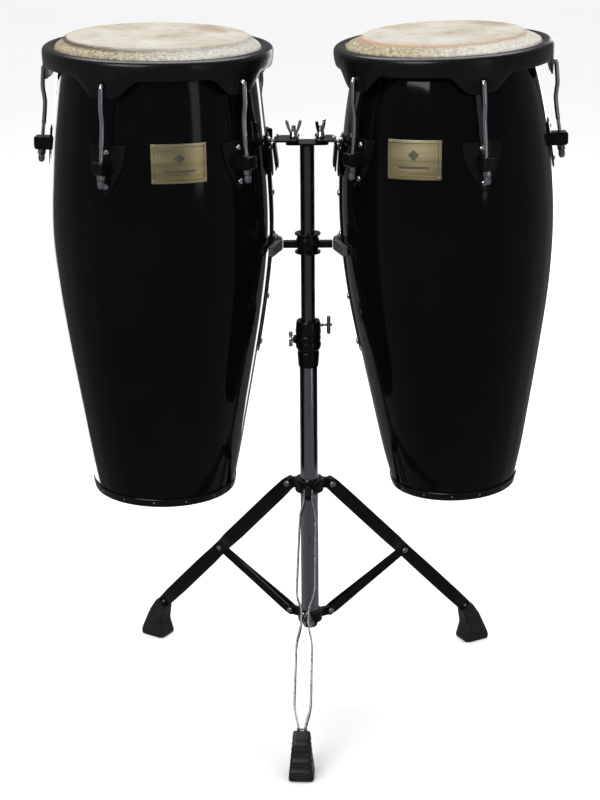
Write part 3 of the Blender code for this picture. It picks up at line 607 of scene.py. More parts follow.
def hex_nut(radius, height, bore):
    """Six-sided nut with turned corners, its axis along Z and its seat at z = 0."""
    bm = bmesh.new()
    sides = 36
    outline = [(bore, 0.0), (radius * 0.93, 0.0), (radius, height * 0.12), (radius, height * 0.88),
               (radius * 0.93, height), (bore, height)]
    rings = []
    for r, z in outline:
        ring = []
        for step in range(sides):
            angle = 2 * math.pi * step / sides
            wedge = (angle + math.pi / 6) % (math.pi / 3) - math.pi / 6
            flat = radius * 0.88 / math.cos(wedge)
            reach = r if r == bore else min(r, flat)
            ring.append(bm.verts.new((reach * math.cos(angle), reach * math.sin(angle), z)))
        rings.append(ring)
    for low, high in zip(rings, rings[1:] + rings[:1]):
        for step in range(sides):
            following = (step + 1) % sides
            bm.faces.new([low[step], low[following], high[following], high[step]])
    return bm


def wing_ears(hub_r, base, reach, top, thickness):
    """Two curved ears of a wing nut, standing along Z."""
    ears = []
    for side in (1, -1):
        inner = [(hub_r * 0.6, base), (hub_r * 1.02, base)]
        outer = [(reach * 0.80, base + (top - base) * 0.42), (reach, base + (top - base) * 0.80),
                 (reach * 0.97, top * 0.985), (reach * 0.80, top),
                 (reach * 0.62, base + (top - base) * 0.88),
                 (reach * 0.46, base + (top - base) * 0.45), (hub_r * 0.6, base + (top - base) * 0.16)]
        outline = rounded_loop([(x * side, z) for x, z in inner + outer], 0.0022, 3)
        ears.append(side_prism(outline, -thickness / 2, thickness / 2))
    return ears


# ---------------------------------------------------------------- drums

def drum_frame(drum):
    """Place of a drum's own axes: origin at the middle of its foot, Z up its axis."""
    return STAND @ Matrix.Translation(drum["base"]) @ Matrix.Rotation(drum["lean"], 4, "Y")


def make_shell(side, drum, body, place):
    """Lacquered staves with faint flats and waves, bare wood inside."""
    profile = drum["profile"]

    def warp(radius, angle, z):
        wedge = math.cos(STAVES * angle)
        wave = noise.noise(Vector((math.cos(angle) * 2.2, math.sin(angle) * 2.2, z * 3.0 + 11.0)))
        return radius - 0.00014 * (1 - wedge) + 0.00022 * wave - 0.0002

    rows = 44
    outer = [(smooth_radius(profile, SHELL_TOP * row / rows),
              SHELL_TOP * row / rows) for row in range(rows + 1)]
    foot_r = outer[0][0]
    outer[0] = (foot_r, 0.0016)
    skin = [(foot_r - 0.0090, 0.0012), (foot_r - 0.0082, 0.0003), (foot_r - 0.0016, 0.0)] + outer
    skin += [(drum["flat_r"] - 0.0022, SHELL_TOP + 0.0001)]
    inside = [(smooth_radius(profile, SHELL_TOP * row / 20) - WALL,
               SHELL_TOP * row / 20) for row in range(21)]
    inside[0] = (foot_r - 0.0090, 0.0012)
    shell = finish_piece(side + "_shell_look", revolve(skin + inside[::-1][:-1], 192, warp), "lacquer",
                         body,
                         place)
    shell.data.materials.append(MATERIALS["wood_inside"])
    for face in shell.data.polygons:
        middle = face.center
        surface_r = smooth_radius(profile, min(max(middle.z, 0.0), SHELL_TOP))
        if math.hypot(middle.x, middle.y) < surface_r - 0.0075:
            face.material_index = 1
    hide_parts(side + "_shell")


def make_head(side, drum, body, place):
    flat_r = drum["flat_r"]
    collar_r = drum["rim_r"] - COLLAR_INSET
    middle = (flat_r + collar_r) / 2
    points = [(0.0, HEAD_Z - 0.0001), (flat_r * 0.5, HEAD_Z - 0.0002), (flat_r - 0.010, HEAD_Z - 0.0003),
              (flat_r - 0.004, HEAD_Z - 0.0006), (flat_r - 0.0008, HEAD_Z - 0.0020),
              (flat_r + 0.0018, HEAD_Z - 0.0042),
              (middle, HEAD_Z - 0.0088), (collar_r - 0.0020, HEAD_Z - 0.0130),
              (collar_r + 0.0002, HEAD_Z - 0.0165),
              (collar_r + 0.0010, HEAD_Z - 0.0200)]
    outline = smooth_line(points, 4)
    outline += [(collar_r - 0.0012, HEAD_Z - 0.0200), (middle - 0.0016, HEAD_Z - 0.0118),
                (flat_r - 0.0010, HEAD_Z - 0.0055), (flat_r - 0.003, HEAD_Z - 0.0024),
                (0.0, HEAD_Z - 0.0024)]

    def warp(radius, angle, z):
        spot = Vector((math.cos(angle) * 3, math.sin(angle) * 3, z * 90))
        ragged = noise.noise(spot * 3.1) * 0.0006 if z < HEAD_Z - 0.006 else 0.0
        return radius + ragged * min(1.0, (HEAD_Z - z) / 0.015)

    head = finish_piece(side + "_head_look", revolve(outline, 144, warp), hide_material(flat_r, side), body,
                        place, 70)
    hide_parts(side + "_head")
    hoop_r = collar_r + 0.0055
    ring = [(hoop_r + x, HEAD_Z - 0.0240 + z) for x, z in arc((0, 0), 0.0028, 0, 330, 11)]
    finish_piece(side + "_flesh_hoop", revolve(ring, 96), "black_coat", body, place)


def skirt_depth(angle, lug_angles):
    """How far down the skirt reaches at an angle: deep at each ear, shallow between."""
    nearest = min(abs((angle - lug + 180) % 360 - 180) for lug in lug_angles)
    share = min(max((19.0 - nearest) / 14.0, 0.0), 1.0)
    share = share * share * (3 - 2 * share)
    return -0.0415 - 0.0255 * share


def make_rim(side, drum, lug_angles, body, place):
    rim_r = drum["rim_r"]
    collar_r = rim_r - COLLAR_INSET
    bm = bmesh.new()
    steps = 300
    sections = []
    for step in range(steps):
        angle = lug_angles[0] + 360.0 * (step + 0.5) / steps
        depth = skirt_depth(angle, lug_angles)
        lip = smooth_line([(collar_r + 0.0012, -0.0180), (collar_r + 0.0018, -0.0155),
                           (collar_r + 0.0045, -0.0140),
                           (collar_r + 0.0090, -0.0134), (rim_r - 0.0052, -0.0143),
                           (rim_r - 0.0018, -0.0168),
                           (rim_r - 0.0003, -0.0205), (rim_r - 0.0002, -0.0275)], 2)
        bottom = [(rim_r - 0.0010, -0.0275 + (depth + 0.0275) * 0.45), (rim_r - 0.0026, depth + 0.0008),
                  (rim_r - 0.0032, depth), (rim_r - 0.0048, depth), (rim_r - 0.0053, depth + 0.0010),
                  (rim_r - 0.0034, -0.0280), (rim_r - 0.0045, -0.0198), (collar_r + 0.0100, -0.0175)]
        turn = compass(angle)
        ring = []
        for radius, z in lip + bottom:
            ring.append(bm.verts.new((radius * math.cos(turn), radius * math.sin(turn), HEAD_Z + z)))
        sections.append(ring)
    for index, section in enumerate(sections):
        following = sections[(index + 1) % steps]
        for corner in range(len(section)):
            after = (corner + 1) % len(section)
            bm.faces.new([section[corner], section[after], following[after], following[corner]])
    rim = finish_piece(side + "_rim_look", bm, "rim_coat", body, place, 50)
    holes = []
    for angle in lug_angles:
        height = HEAD_Z + EAR_HOLE_Z
        hole = sweep([(rim_r - 0.012, 0, height), (rim_r + 0.008, 0, height)], [0.0048, 0.0048], 24)
        holes.append(moved(hole, Matrix.Rotation(compass(angle), 4, "Z")))
    cut(rim, holes)
    rim.data.set_sharp_from_angle(angle=math.radians(50))
    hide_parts(side + "_rim")


def skin_point(profile, angle, across, z, lift):
    surface_r = smooth_radius(profile, z)
    turn = compass(angle) + across / surface_r
    radius = surface_r + lift
    return (radius * math.cos(turn), radius * math.sin(turn), z)


def skin_patch(profile, angle, rows, columns, thickness, lift=0.0003, crown=0.0):
    """A thin curved plate on the shell. rows holds (height, half width) pairs, top to bottom."""
    bm = bmesh.new()
    layers = []
    for offset in (lift, lift + thickness):
        layer = []
        for z, half in rows:
            line = []
            for column in range(columns + 1):
                share = 2 * column / columns - 1
                swell = crown * (1 - share * share) if offset > lift else 0.0
                line.append(bm.verts.new(skin_point(profile, angle, half * share, z, offset + swell)))
            layer.append(line)
        layers.append(layer)
    back, front = layers
    last_row = len(rows) - 1
    for row in range(last_row):
        for column in range(columns):
            for layer in layers:
                bm.faces.new([layer[row][column], layer[row][column + 1],
                              layer[row + 1][column + 1], layer[row + 1][column]])
        for column in (0, columns):
            bm.faces.new([back[row][column], back[row + 1][column], front[row + 1][column],
                          front[row][column]])
    for row in (0, last_row):
        for column in range(columns):
            bm.faces.new([back[row][column], back[row][column + 1], front[row][column + 1],
                          front[row][column]])
    return bm


def make_rod(side, index, drum, angle, body, place):
    rim_r = drum["rim_r"]
    turn = place @ Matrix.Rotation(compass(angle), 4, "Z")
    path = [(rim_r - 0.0105, EAR_HOLE_Z, 0.0032), (rim_r - 0.0040, EAR_HOLE_Z, 0.0033),
            (rim_r + 0.0002, EAR_HOLE_Z - 0.0004, 0.0034), (rim_r + 0.0024, EAR_HOLE_Z - 0.0030, 0.0034),
            (rim_r + 0.0031, EAR_HOLE_Z - 0.0085, 0.0034), (rim_r + 0.0045, -0.0800, 0.0034),
            (rim_r + 0.0030, -0.0930, 0.0034), (rim_r + 0.0020, -0.1040, 0.0034),
            (rim_r + 0.0035, -0.1230, 0.0034),
            (rim_r + 0.0052, -0.1370, 0.0033)]
    fine = smooth_line(path, 6)
    start = fine[-1]
    threads = 46
    for step in range(1, threads + 1):
        share = step / threads
        ridge = 0.0028 if step % 2 else 0.00255
        fine.append((start[0] + 0.0050 * share, start[1] + (-0.1755 - start[1]) * share, ridge))
    points = [(radius, 0, HEAD_Z + z) for radius, z, _ in fine]
    rod = finish_piece("%s_rod_look_%d" % (side, index), sweep(points, [r for _, _, r in fine], 16),
                       "chrome",
                       body, turn)
    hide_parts("%s_tuning_rod_%d" % (side, index))
    low_r = rim_r + 0.0101
    tilt = Matrix.Translation((low_r, 0, HEAD_Z - 0.1834)) @ Matrix.Rotation(math.radians(-5.0), 4, "Y")
    nut = merge([hex_nut(0.0064, 0.0066, 0.0030),
                 revolve([(0.0030, 0.0066), (0.0068, 0.0066), (0.0068, 0.0074), (0.0030, 0.0074)], 24)])
    finish_piece("%s_rod_nut_%d" % (side, index), moved(nut, tilt), "steel", body, turn,
                 bevel=0.0002)
    tip = [(0.0, -0.0125), (0.0022, -0.0122), (0.0040, -0.0108), (0.0049, -0.0085), (0.0050, -0.0040),
           (0.0044, -0.0012), (0.0032, 0.0), (0.0, 0.0)]
    finish_piece("%s_rod_tip_%d" % (side, index), moved(revolve(tip, 24), tilt), "rod_tip", body, turn)


def make_lug(side, index, drum, angle, body, place):
    profile = drum["profile"]
    rim_r = drum["rim_r"]
    shield = [(-0.1365, 0.0265), (-0.1375, 0.0284), (-0.1400, 0.0291), (-0.152, 0.0287), (-0.167, 0.0247),
              (-0.185, 0.0167), (-0.198, 0.0092), (-0.2065, 0.0040), (-0.2090, 0.0014)]
    rows = [(HEAD_Z + z, half) for z, half in smooth_line(shield, 4)]
    plate = skin_patch(profile, angle, rows, 12, 0.0023, crown=0.0004)
    lug = finish_piece("%s_lug_plate_%d" % (side, index), plate, "black_gloss", body, place,
                       50,
                       bevel=0.0006)
    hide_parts("%s_lug_%d" % (side, index))
    low = HEAD_Z + BOX_Z[0]
    high = HEAD_Z + BOX_Z[1]
    outer = rim_r + 0.0198
    section = [(smooth_radius(profile, low) + 0.0020, low), (outer - 0.0030, low), (outer, low + 0.0030),
               (outer, high - 0.0020), (outer - 0.0020, high),
               (smooth_radius(profile, high) + 0.0020, high)]
    turn = place @ Matrix.Rotation(compass(angle), 4, "Z")
    block = finish_piece("%s_lug_box_%d" % (side, index), side_prism(section, -0.0085, 0.0085),
                         "black_gloss",
                         body, turn)
    bore = sweep([(rim_r + 0.0073, 0, high + 0.005), (rim_r + 0.0103, 0, low - 0.005)], [0.0042, 0.0042],
                 20)
    cut(block, [bore])
    rounding = block.modifiers.new("bevel", "BEVEL")
    rounding.width = 0.0008
    rounding.segments = 2
    rounding.limit_method = "ANGLE"
    for number, z in enumerate((-0.1462, -0.1955)):
        height = HEAD_Z + z
        slope = math.atan((smooth_radius(profile, height + 0.01) - smooth_radius(profile,
                                                                                 height - 0.01)) / 0.02)
        seat = Matrix.Translation((smooth_radius(profile, height) + 0.0027, 0, height))
        head = moved(screw_head(0.0042, 0.0024), seat @ Matrix.Rotation(slope, 4, "Y"))
        finish_piece("%s_lug_screw_%d_%d" % (side, index, number), head, "chrome", body, turn)


def make_badge(side, drum, body, place):
    profile = drum["profile"]
    angle = drum["badge_angle"]
    top, low = HEAD_Z - 0.1315, HEAD_Z - 0.1883
    half = 0.0408

    def panel(z_high, z_low, reach, thickness, lift):
        rows = [(z_high + (z_low - z_high) * row / 10, reach) for row in range(11)]
        return skin_patch(profile, angle, rows, 24, thickness, lift)

    plate = finish_piece(side + "_badge_look", panel(top, low, half, 0.0013, 0.0004), "brass", body, place,
                         50, bevel=0.0007, segments=3)
    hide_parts(side + "_badge")
    border = 0.0042
    line = 0.0008
    for name, z_high, z_low in (("top", top - border, top - border - line),
                                ("low", low + border + line, low + border)):
        finish_piece("%s_badge_line_%s" % (side, name),
                     panel(z_high, z_low, half - border, 0.0001, 0.00172),
                     "brass_dark", body, place)
    for name, sign in (("left", -1), ("right", 1)):
        bm = bmesh.new()
        for z in (top - border, low + border):
            for across in (half - border, half - border - line):
                bm.verts.new(skin_point(profile, angle, sign * across, z, 0.00178))
        bm.verts.ensure_lookup_table()
        bm.faces.new([bm.verts[0], bm.verts[1], bm.verts[3], bm.verts[2]])
        bmesh.ops.subdivide_edges(bm, edges=bm.edges, cuts=8, use_grid_fill=True)
        for vert in bm.verts:
            surface_r = smooth_radius(profile, vert.co.z)
            flat = Vector((vert.co.x, vert.co.y, 0)).normalized() * (surface_r + 0.00182)
            vert.co = (flat.x, flat.y, vert.co.z)
        finish_piece("%s_badge_line_%s" % (side, name), bm, "brass_dark", body, place)
    middle = (top + low) / 2
    motif = bmesh.new()
    ornaments = [[(0.0, 0.0150), (0.0085, 0.0070), (0.0, -0.0010), (-0.0085, 0.0070)],
                 [(-0.0230, -0.0090), (0.0230, -0.0090), (0.0230, -0.0125), (-0.0230, -0.0125)]]
    for outline in ornaments:
        corners = [motif.verts.new(skin_point(profile, angle, x, middle + z, 0.00180)) for x, z in outline]
        motif.faces.new(corners)
    bmesh.ops.subdivide_edges(motif, edges=motif.edges, cuts=7, use_grid_fill=True)
    for vert in motif.verts:
        surface_r = smooth_radius(profile, vert.co.z)
        flat = Vector((vert.co.x, vert.co.y, 0)).normalized() * (surface_r + 0.00184)
        vert.co = (flat.x, flat.y, vert.co.z)
    finish_piece(side + "_badge_motif", motif, "brass_dark", body, place)
    for number, (x, z) in enumerate(((-1, 1), (1, 1), (-1, -1), (1, -1))):
        height = middle + z * ((top - low) / 2 - 0.0035)
        surface_r = smooth_radius(profile, height)
        bearing = compass(angle) + x * (half - 0.0035) / surface_r
        spot = place @ Matrix.Rotation(bearing, 4,
                                       "Z") @ Matrix.Translation((surface_r + 0.0016, 0, height))
        finish_piece("%s_badge_rivet_%d" % (side, number), screw_head(0.0018, 0.0010, False), "brass", body,
                     spot)


def make_base_band(side, drum, body, place):
    profile = drum["profile"]
    foot_r = profile[0][0]
    high_r = smooth_radius(profile, 0.013)
    section = [(foot_r + 0.0002, 0.0003), (foot_r + 0.0016, 0.0001), (foot_r + 0.0020, 0.0010),
               (high_r + 0.0018, 0.0120), (high_r + 0.0012, 0.0129), (high_r + 0.0002, 0.0129)]
    band = finish_piece(side + "_base_band_look", revolve(section, 144), "black_gloss", body, place)
    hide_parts(side + "_base_band")
    nails = []
    count = 14
    for number in range(count):
        angle = 2 * math.pi * (number + 0.3) / count
        nail = moved(screw_head(0.0016, 0.0008, False),
                     Matrix.Translation((smooth_radius(profile, 0.007) + 0.0016, 0, 0.007)))
        nails.append(moved(nail, Matrix.Rotation(angle, 4, "Z")))
    finish_piece(side + "_band_nails", merge(nails), "steel_and_edge_highlight", body, place)


def hook_line(drum):
    """Centre line of the hook bracket's strap, as (radius, height): up the plate, over, and down."""
    profile = drum["profile"]
    high = HEAD_Z - 0.1660
    low = HEAD_Z - 0.2060
    stand_off = 0.0012 + drum["plate_thickness"] + 0.0011
    up_leg = [(smooth_radius(profile, low) + stand_off, low),
              (smooth_radius(profile, high) + stand_off, high)]
    crest_r = 0.0019
    centre = (up_leg[1][0] + crest_r, high)
    crest = arc(centre, crest_r, 165, 15, 8)
    end = (crest[-1][0] + 0.0330 * drum["hook_slope"], crest[-1][1] - 0.0330)
    return up_leg + crest + [end]


def make_bracket(side, drum, body, place):
    profile = drum["profile"]
    pole = drum["pole_side"]
    rows = [(HEAD_Z - 0.146 - 0.340 * row / 24, 0.0158) for row in range(25)]
    plate = skin_patch(profile, 90.0 * pole, rows, 6, drum["plate_thickness"] + 0.0001, 0.0004)
    look = finish_piece(side + "_mount_plate_look", plate, "black_gloss", body, place, 50,
                        bevel=0.0007)
    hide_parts(side + "_mount_plate")
    outline = [(radius * pole, z) for radius, z in ribbon(hook_line(drum), 0.0022)]
    hook = finish_piece(side + "_hook_look", side_prism(outline, -0.0224, 0.0224), "black_gloss", body,
                        place,
                        50, bevel=0.0006)
    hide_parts(side + "_hook_bracket")
    turn = place @ Matrix.Rotation(compass(90.0 * pole), 4, "Z")
    crest_r, crest_z = hook_line(drum)[6]
    for number, across in enumerate((-0.0125, 0.0125)):
        hub = revolve([(0.0, 0.0), (0.0042, 0.0), (0.0046, 0.0008), (0.0040, 0.0050), (0.0030, 0.0062),
                       (0.0, 0.0064)], 24)
        bolt = merge([hub] + wing_ears(0.0040, 0.0040, 0.0098, 0.0150, 0.0018))
        spot = Matrix.Translation((crest_r, across, crest_z + 0.0011)) @ Matrix.Rotation(0.5 - number, 4,
                                                                                         "Z")
        finish_piece("%s_hook_wing_bolt_%d" % (side, number), bolt, "chrome", body, turn @ spot,
                     bevel=0.0004)
    for number, drop in enumerate((0.156, 0.236, 0.300, 0.400, 0.474)):
        height = HEAD_Z - drop
        slope = math.atan((smooth_radius(profile, height + 0.01) - smooth_radius(profile,
                                                                                 height - 0.01)) / 0.02)
        seat = Matrix.Translation((smooth_radius(profile, height) + drum["plate_thickness"] + 0.0005, 0,
                                   height))
        bolt = moved(screw_head(0.0052, 0.0030, False), seat @ Matrix.Rotation(slope, 4, "Y"))
        finish_piece("%s_plate_bolt_%d" % (side, number), bolt, "chrome", body, turn)


def make_drum(side):
    drum = DRUMS[side]
    body = side + "_drum"
    place = drum_frame(drum)
    lug_angles = [drum["lug_angle"] + 72.0 * index for index in range(LUG_COUNT)]
    make_shell(side, drum, body, place)
    make_head(side, drum, body, place)
    make_rim(side, drum, lug_angles, body, place)
    make_badge(side, drum, body, place)
    make_base_band(side, drum, body, place)
    make_bracket(side, drum, body, place)
    for index, angle in enumerate(lug_angles):
        make_rod(side, index + 1, drum, angle, body, place)
        make_lug(side, index + 1, drum, angle, body, place)


# ---------------------------------------------------------------- pole

def make_tubes():
    lower = [(0.0143, 0.1196), (0.0143, 0.5735), (0.0139, 0.5744), (0.0117, 0.5744), (0.0117, 0.1196)]
    tube = finish_piece("lower_tube_look", revolve(lower, 72), "tube_chrome", "base")
    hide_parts("lower_tube")
    upper = [(0.0111, 0.3352), (0.0111, 0.9118), (0.0095, 0.9118), (0.0095, 0.3352)]
    tube = finish_piece("upper_tube_look", revolve(upper, 72), "dark_chrome", "mast")
    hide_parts("upper_tube")
    plug = [(0.0, 0.1060), (0.0080, 0.1062), (0.0110, 0.1075), (0.0122, 0.1100), (0.0124, 0.1180),
            (0.0, 0.1180)]
    finish_piece("end_plug", revolve(plug, 40), "rubber", "base")


def make_height_lock():
    bore = UPPER_BORE
    clamp = [(0.0148, 0.5582), (0.0156, 0.5584), (0.0160, 0.5600), (0.0175, 0.5810), (0.0172, 0.5822),
             (0.0161, 0.5832),
             (0.0161, 0.5850), (0.0176, 0.5862), (0.0196, 0.5900), (0.0201, 0.5925), (0.0202, 0.5975),
             (0.0194, 0.5992), (0.0190, 0.6005), (0.0195, 0.6018), (0.0200, 0.6035), (0.0198, 0.6085),
             (0.0190, 0.6098), (bore, 0.6098), (bore, 0.5752), (0.0146, 0.5748), (0.0146, 0.5582)]
    look = finish_piece("clamp_look", revolve(clamp, 72), "black_gloss", "base")
    boss = along_x(revolve([(0.0032, 0.0), (0.0062, 0.0), (0.0068, 0.0008), (0.0068, 0.0040),
                            (0.0062, 0.0048),
                            (0.0032, 0.0048)], 28))
    boss = moved(boss, Matrix.Translation((-0.0235, 0, CLAMP_SCREW_Z)))
    finish_piece("clamp_boss", boss, "black_gloss", "base")
    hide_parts("height_clamp")
    lock = [(0.0186, 0.6105), (0.0197, 0.6112), (0.0202, 0.6130), (0.0203, 0.6165), (0.0198, 0.6200),
            (0.0188, 0.6318), (0.0180, 0.6332), (0.0162, 0.6334), (0.0130, 0.6322), (0.0122, 0.6300),
            (bore, 0.6290), (bore, 0.6105)]
    look = finish_piece("lock_look", revolve(lock, 72), "black_gloss", "lock")
    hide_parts("memory_lock")
    bars = []
    bar = [(0.0, -0.0150), (0.0018, -0.0149), (0.0028, -0.0143), (0.0031, -0.0130), (0.0031, 0.0130),
           (0.0028, 0.0143), (0.0018, 0.0149), (0.0, 0.0150)]
    bars.append(moved(revolve(bar, 24), Matrix.Translation((0.0318, 0, T_SCREW_Z))))
    shaft = [(0.0, 0.0150), (0.0022, 0.0150), (0.0022, 0.0362), (0.0018, 0.0375), (0.0, 0.0377)]
    bars.append(moved(along_x(revolve(shaft, 20)), Matrix.Translation((0, 0, T_SCREW_Z))))
    collar = [(0.0, 0.0205), (0.0042, 0.0205), (0.0042, 0.0226), (0.0, 0.0226)]
    bars.append(moved(along_x(revolve(collar, 20)), Matrix.Translation((0, 0, T_SCREW_Z))))
    look = finish_piece("t_screw_look", merge(bars), "steel", "lock_screw", bevel=0.0002)
    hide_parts("t_screw")


def wing_screw_look(name, place, shaft, wing_at, body, node):
    parts = [along_x(revolve([(0.0, shaft), (0.0029, shaft), (0.0029, wing_at), (0.0, wing_at)], 20))]
    hub = [(0.0, wing_at - 0.0036), (0.0048, wing_at - 0.0036), (0.0050, wing_at - 0.0028),
           (0.0040, wing_at + 0.0030), (0.0034, wing_at + 0.0036), (0.0, wing_at + 0.0036)]
    parts.append(along_x(revolve(hub, 28)))
    for side in (1, -1):
        outline = [(wing_at - 0.0020, 0.0020 * side), (wing_at + 0.0020, 0.0020 * side),
                   (wing_at + 0.0040, 0.0068 * side), (wing_at + 0.0040, 0.0110 * side),
                   (wing_at + 0.0020, 0.0125 * side), (wing_at - 0.0012, 0.0125 * side),
                   (wing_at - 0.0028, 0.0108 * side), (wing_at - 0.0026, 0.0068 * side)]
        parts.append(side_prism(rounded_loop(outline, 0.0015, 3), -0.0011, 0.0011))
    look = finish_piece(name, merge(parts), "chrome", body, place, bevel=0.0004)
    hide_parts(node)


def make_cradle():
    z = CRADLE_Z
    bore = UPPER_BORE
    barrel = [(bore, z - 0.0135), (0.0196, z - 0.0135), (0.0202, z - 0.0130), (0.0202, z - 0.0113),
              (0.0196, z - 0.0107), (0.0160, z - 0.0104), (0.0162, z - 0.0080), (0.0176, z - 0.0040),
              (0.0185, z - 0.0005), (0.0186, z + 0.0035), (0.0180, z + 0.0070), (0.0168, z + 0.0105),
              (0.0160, z + 0.0135), (0.0160, z + 0.0149), (0.0196, z + 0.0152), (0.0202, z + 0.0158),
              (0.0202, z + 0.0174), (0.0196, z + 0.0180), (bore, z + 0.0180)]
    look = finish_piece("cradle_look", revolve(barrel, 72), "black_gloss", "mast",
                        bevel=0.0003)
    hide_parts("cradle")
    for side_name, side in (("left", -1), ("right", 1)):
        inner, outer = sorted((0.0150 * side, 0.0381 * side))
        finish_piece(side_name + "_cradle_bar",
                     box((inner, -0.0055, z - 0.0055), (outer, 0.0055, z + 0.0055)),
                     "black_gloss", "mast", bevel=0.0012, segments=3)
        teeth = 11
        half = []
        for step in range(teeth * 2 + 1):
            t = step / (teeth * 2)
            y = 0.006 + 0.0440 * t
            d = 0.0387 + (0.0525 - 0.0387) * t
            half.append((d + (0.0011 if step % 2 else 0.0), y))
        half += [(0.0560, 0.0503), (0.0602, 0.0492), (0.0590, 0.0450), (0.0487, 0.0075)]
        outline = [(0.0386, 0.0)] + half + [(0.0472, 0.0)] + [(d, -y) for d, y in half[::-1]]
        outline = [(d * side, y) for d, y in outline]
        pad = finish_piece(side_name + "_pad_look", prism(outline, z - 0.0077, z + 0.0077), "pad_rubber",
                           "mast",
                           bevel=0.0005)
        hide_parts(side_name + "_cradle_pad")
        bolt = merge([revolve([(0.0, 0.0), (0.0052, 0.0), (0.0052, 0.0010), (0.0, 0.0010)], 28),
                      moved(hex_nut(0.0042, 0.0032, 0.0005), Matrix.Translation((0, 0, 0.0010)))])
        spot = STAND @ Matrix.Translation((0.0437 * side, 0, z + 0.0078))
        finish_piece(side_name + "_pad_bolt", bolt, "steel", "mast", spot, bevel=0.0002)


def make_top():
    low, high = PLATE_Z
    corner = rounded_loop([(-0.0325, -0.018), (0.0325, -0.018), (0.0325, 0.018), (-0.0325, 0.018)], 0.009,
                          6)
    plate = finish_piece("top_plate_look", prism(corner, low, high), "black_gloss", "mast",
                         bevel=0.0005)
    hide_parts("top_plate")
    weld = [(0.0110, low - 0.0030), (0.0122, low - 0.0022), (0.0138, low - 0.0002), (0.0110, low - 0.0001)]
    finish_piece("top_weld", revolve(weld, 60), "black_coat", "mast")
    for side_name, side in (("left", -1), ("right", 1)):
        x = STUD_D * side
        stud = []
        steps = 40
        for step in range(steps + 1):
            ridge = 0.0038 if step % 2 else 0.0034
            stud.append((ridge, 0.9150 + 0.0240 * step / steps))
        stud = [(0.0, 0.9150)] + stud + [(0.0, 0.9390)]
        finish_piece(side_name + "_stud", moved(revolve(stud, 20), Matrix.Translation((x, 0, 0))), "steel",
                     "mast")
        washer = [(0.0040, high), (0.0082, high), (0.0085, high + 0.0005), (0.0085, high + 0.0019),
                  (0.0040, high + 0.0021)]
        finish_piece(side_name + "_stud_seat", moved(revolve(washer, 32), Matrix.Translation((x, 0, 0))),
                     "black_coat", "mast")
        head = [(0.0, low - 0.0027), (0.0030, low - 0.0025), (0.0056, low - 0.0014), (0.0066, low),
                (0.0, low)]
        finish_piece(side_name + "_stud_head", moved(revolve(head, 28), Matrix.Translation((x, 0, 0))),
                     "black_gloss", "mast")


def drum_to_stand(drum, radius, z):
    """Distance from the pole and height in the stand, of a point on the drum's pole side."""
    lean = drum["lean"]
    across = drum["pole_side"] * radius
    x = drum["base"][0] + across * math.cos(lean) + z * math.sin(lean)
    return abs(x), drum["base"][2] + z * math.cos(lean) - across * math.sin(lean)


def flange_distance(drum, height):
    """Distance from the pole to the arm's flange, just clear of the hook's down leg."""
    top_d, top_z = drum_to_stand(drum, *hook_line(drum)[-2])
    low_d, low_z = drum_to_stand(drum, *hook_line(drum)[-1])
    slope = (top_d - low_d) / (top_z - low_z)
    clear = (0.0011 + 0.0003 + 0.0015) * math.hypot(1, slope)
    return low_d + slope * (height - low_z) - clear


def make_arm(side_name, wing_turn):
    drum = DRUMS[side_name]
    side = -drum["pole_side"]
    body = side_name + "_drum"
    middle_z = sum(STRAP_Z) / 2
    bend = 0.004
    flange = flange_distance(drum, middle_z - bend)
    corner = arc((flange - bend, middle_z - bend), bend, 90, 0, 8)
    end = (flange_distance(drum, 0.880), 0.880)
    line = [(0.0125, middle_z + 0.0030), (0.0160, middle_z), (0.0175, middle_z)] + corner + [end]
    outline = [(d * side, z) for d, z in ribbon(line, 0.0029)]
    arm = finish_piece(side_name + "_arm_look", side_prism(outline, -0.0224, 0.0224), "black_gloss", body,
                       bevel=0.0006)
    cuts = []
    for reach, half in ((STUD_D + 0.0046, 0.0046), (0.0162, 0.0080)):
        x_low, x_high = sorted((0.005 * side, reach * side))
        cuts.append(box((x_low, -half, STRAP_Z[0] - 0.002), (x_high, half, STRAP_Z[1] + 0.01)))
    cut(arm, cuts)
    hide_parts(side_name + "_arm")
    place = STAND @ Matrix.Translation((STUD_D * side, 0, NUT_Z)) @ Matrix.Rotation(wing_turn, 4, "Z")
    hub = [(0.0041, 0.0), (0.0064, 0.0), (0.0068, 0.0005), (0.0068, 0.0024), (0.0062, 0.0032),
           (0.0054, 0.0090),
           (0.0050, 0.0095), (0.0041, 0.0095)]
    nut = finish_piece(side_name + "_arm_nut_look",
                       merge([revolve(hub, 32)] + wing_ears(0.0060, 0.0068, 0.0125, 0.0268, 0.0029)),
                       "chrome", side_name + "_nut", place, bevel=0.0005)
    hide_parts(side_name + "_arm_nut")


# ---------------------------------------------------------------- tripod

def leg_turn(name):
    return Matrix.Rotation(math.radians(LEG_ANGLES[name]) + TRIPOD_YAW, 4, "Z")


def rivet(name, place, reach, radius, body):
    """A shank across the leg's plane with a domed head on each end."""
    height = 0.0018
    outline = [(0.0, -reach - height), (radius * 0.55, -reach - height * 0.85),
               (radius * 0.9, -reach - height * 0.4),
               (radius, -reach), (radius * 0.5, -reach), (radius * 0.5, reach), (radius, reach),
               (radius * 0.9, reach + height * 0.4), (radius * 0.55, reach + height * 0.85),
               (0.0, reach + height)]
    bm = moved(revolve(outline, 24), Matrix.Rotation(math.radians(90), 4, "X"))
    return finish_piece(name, bm, "steel", body, place)


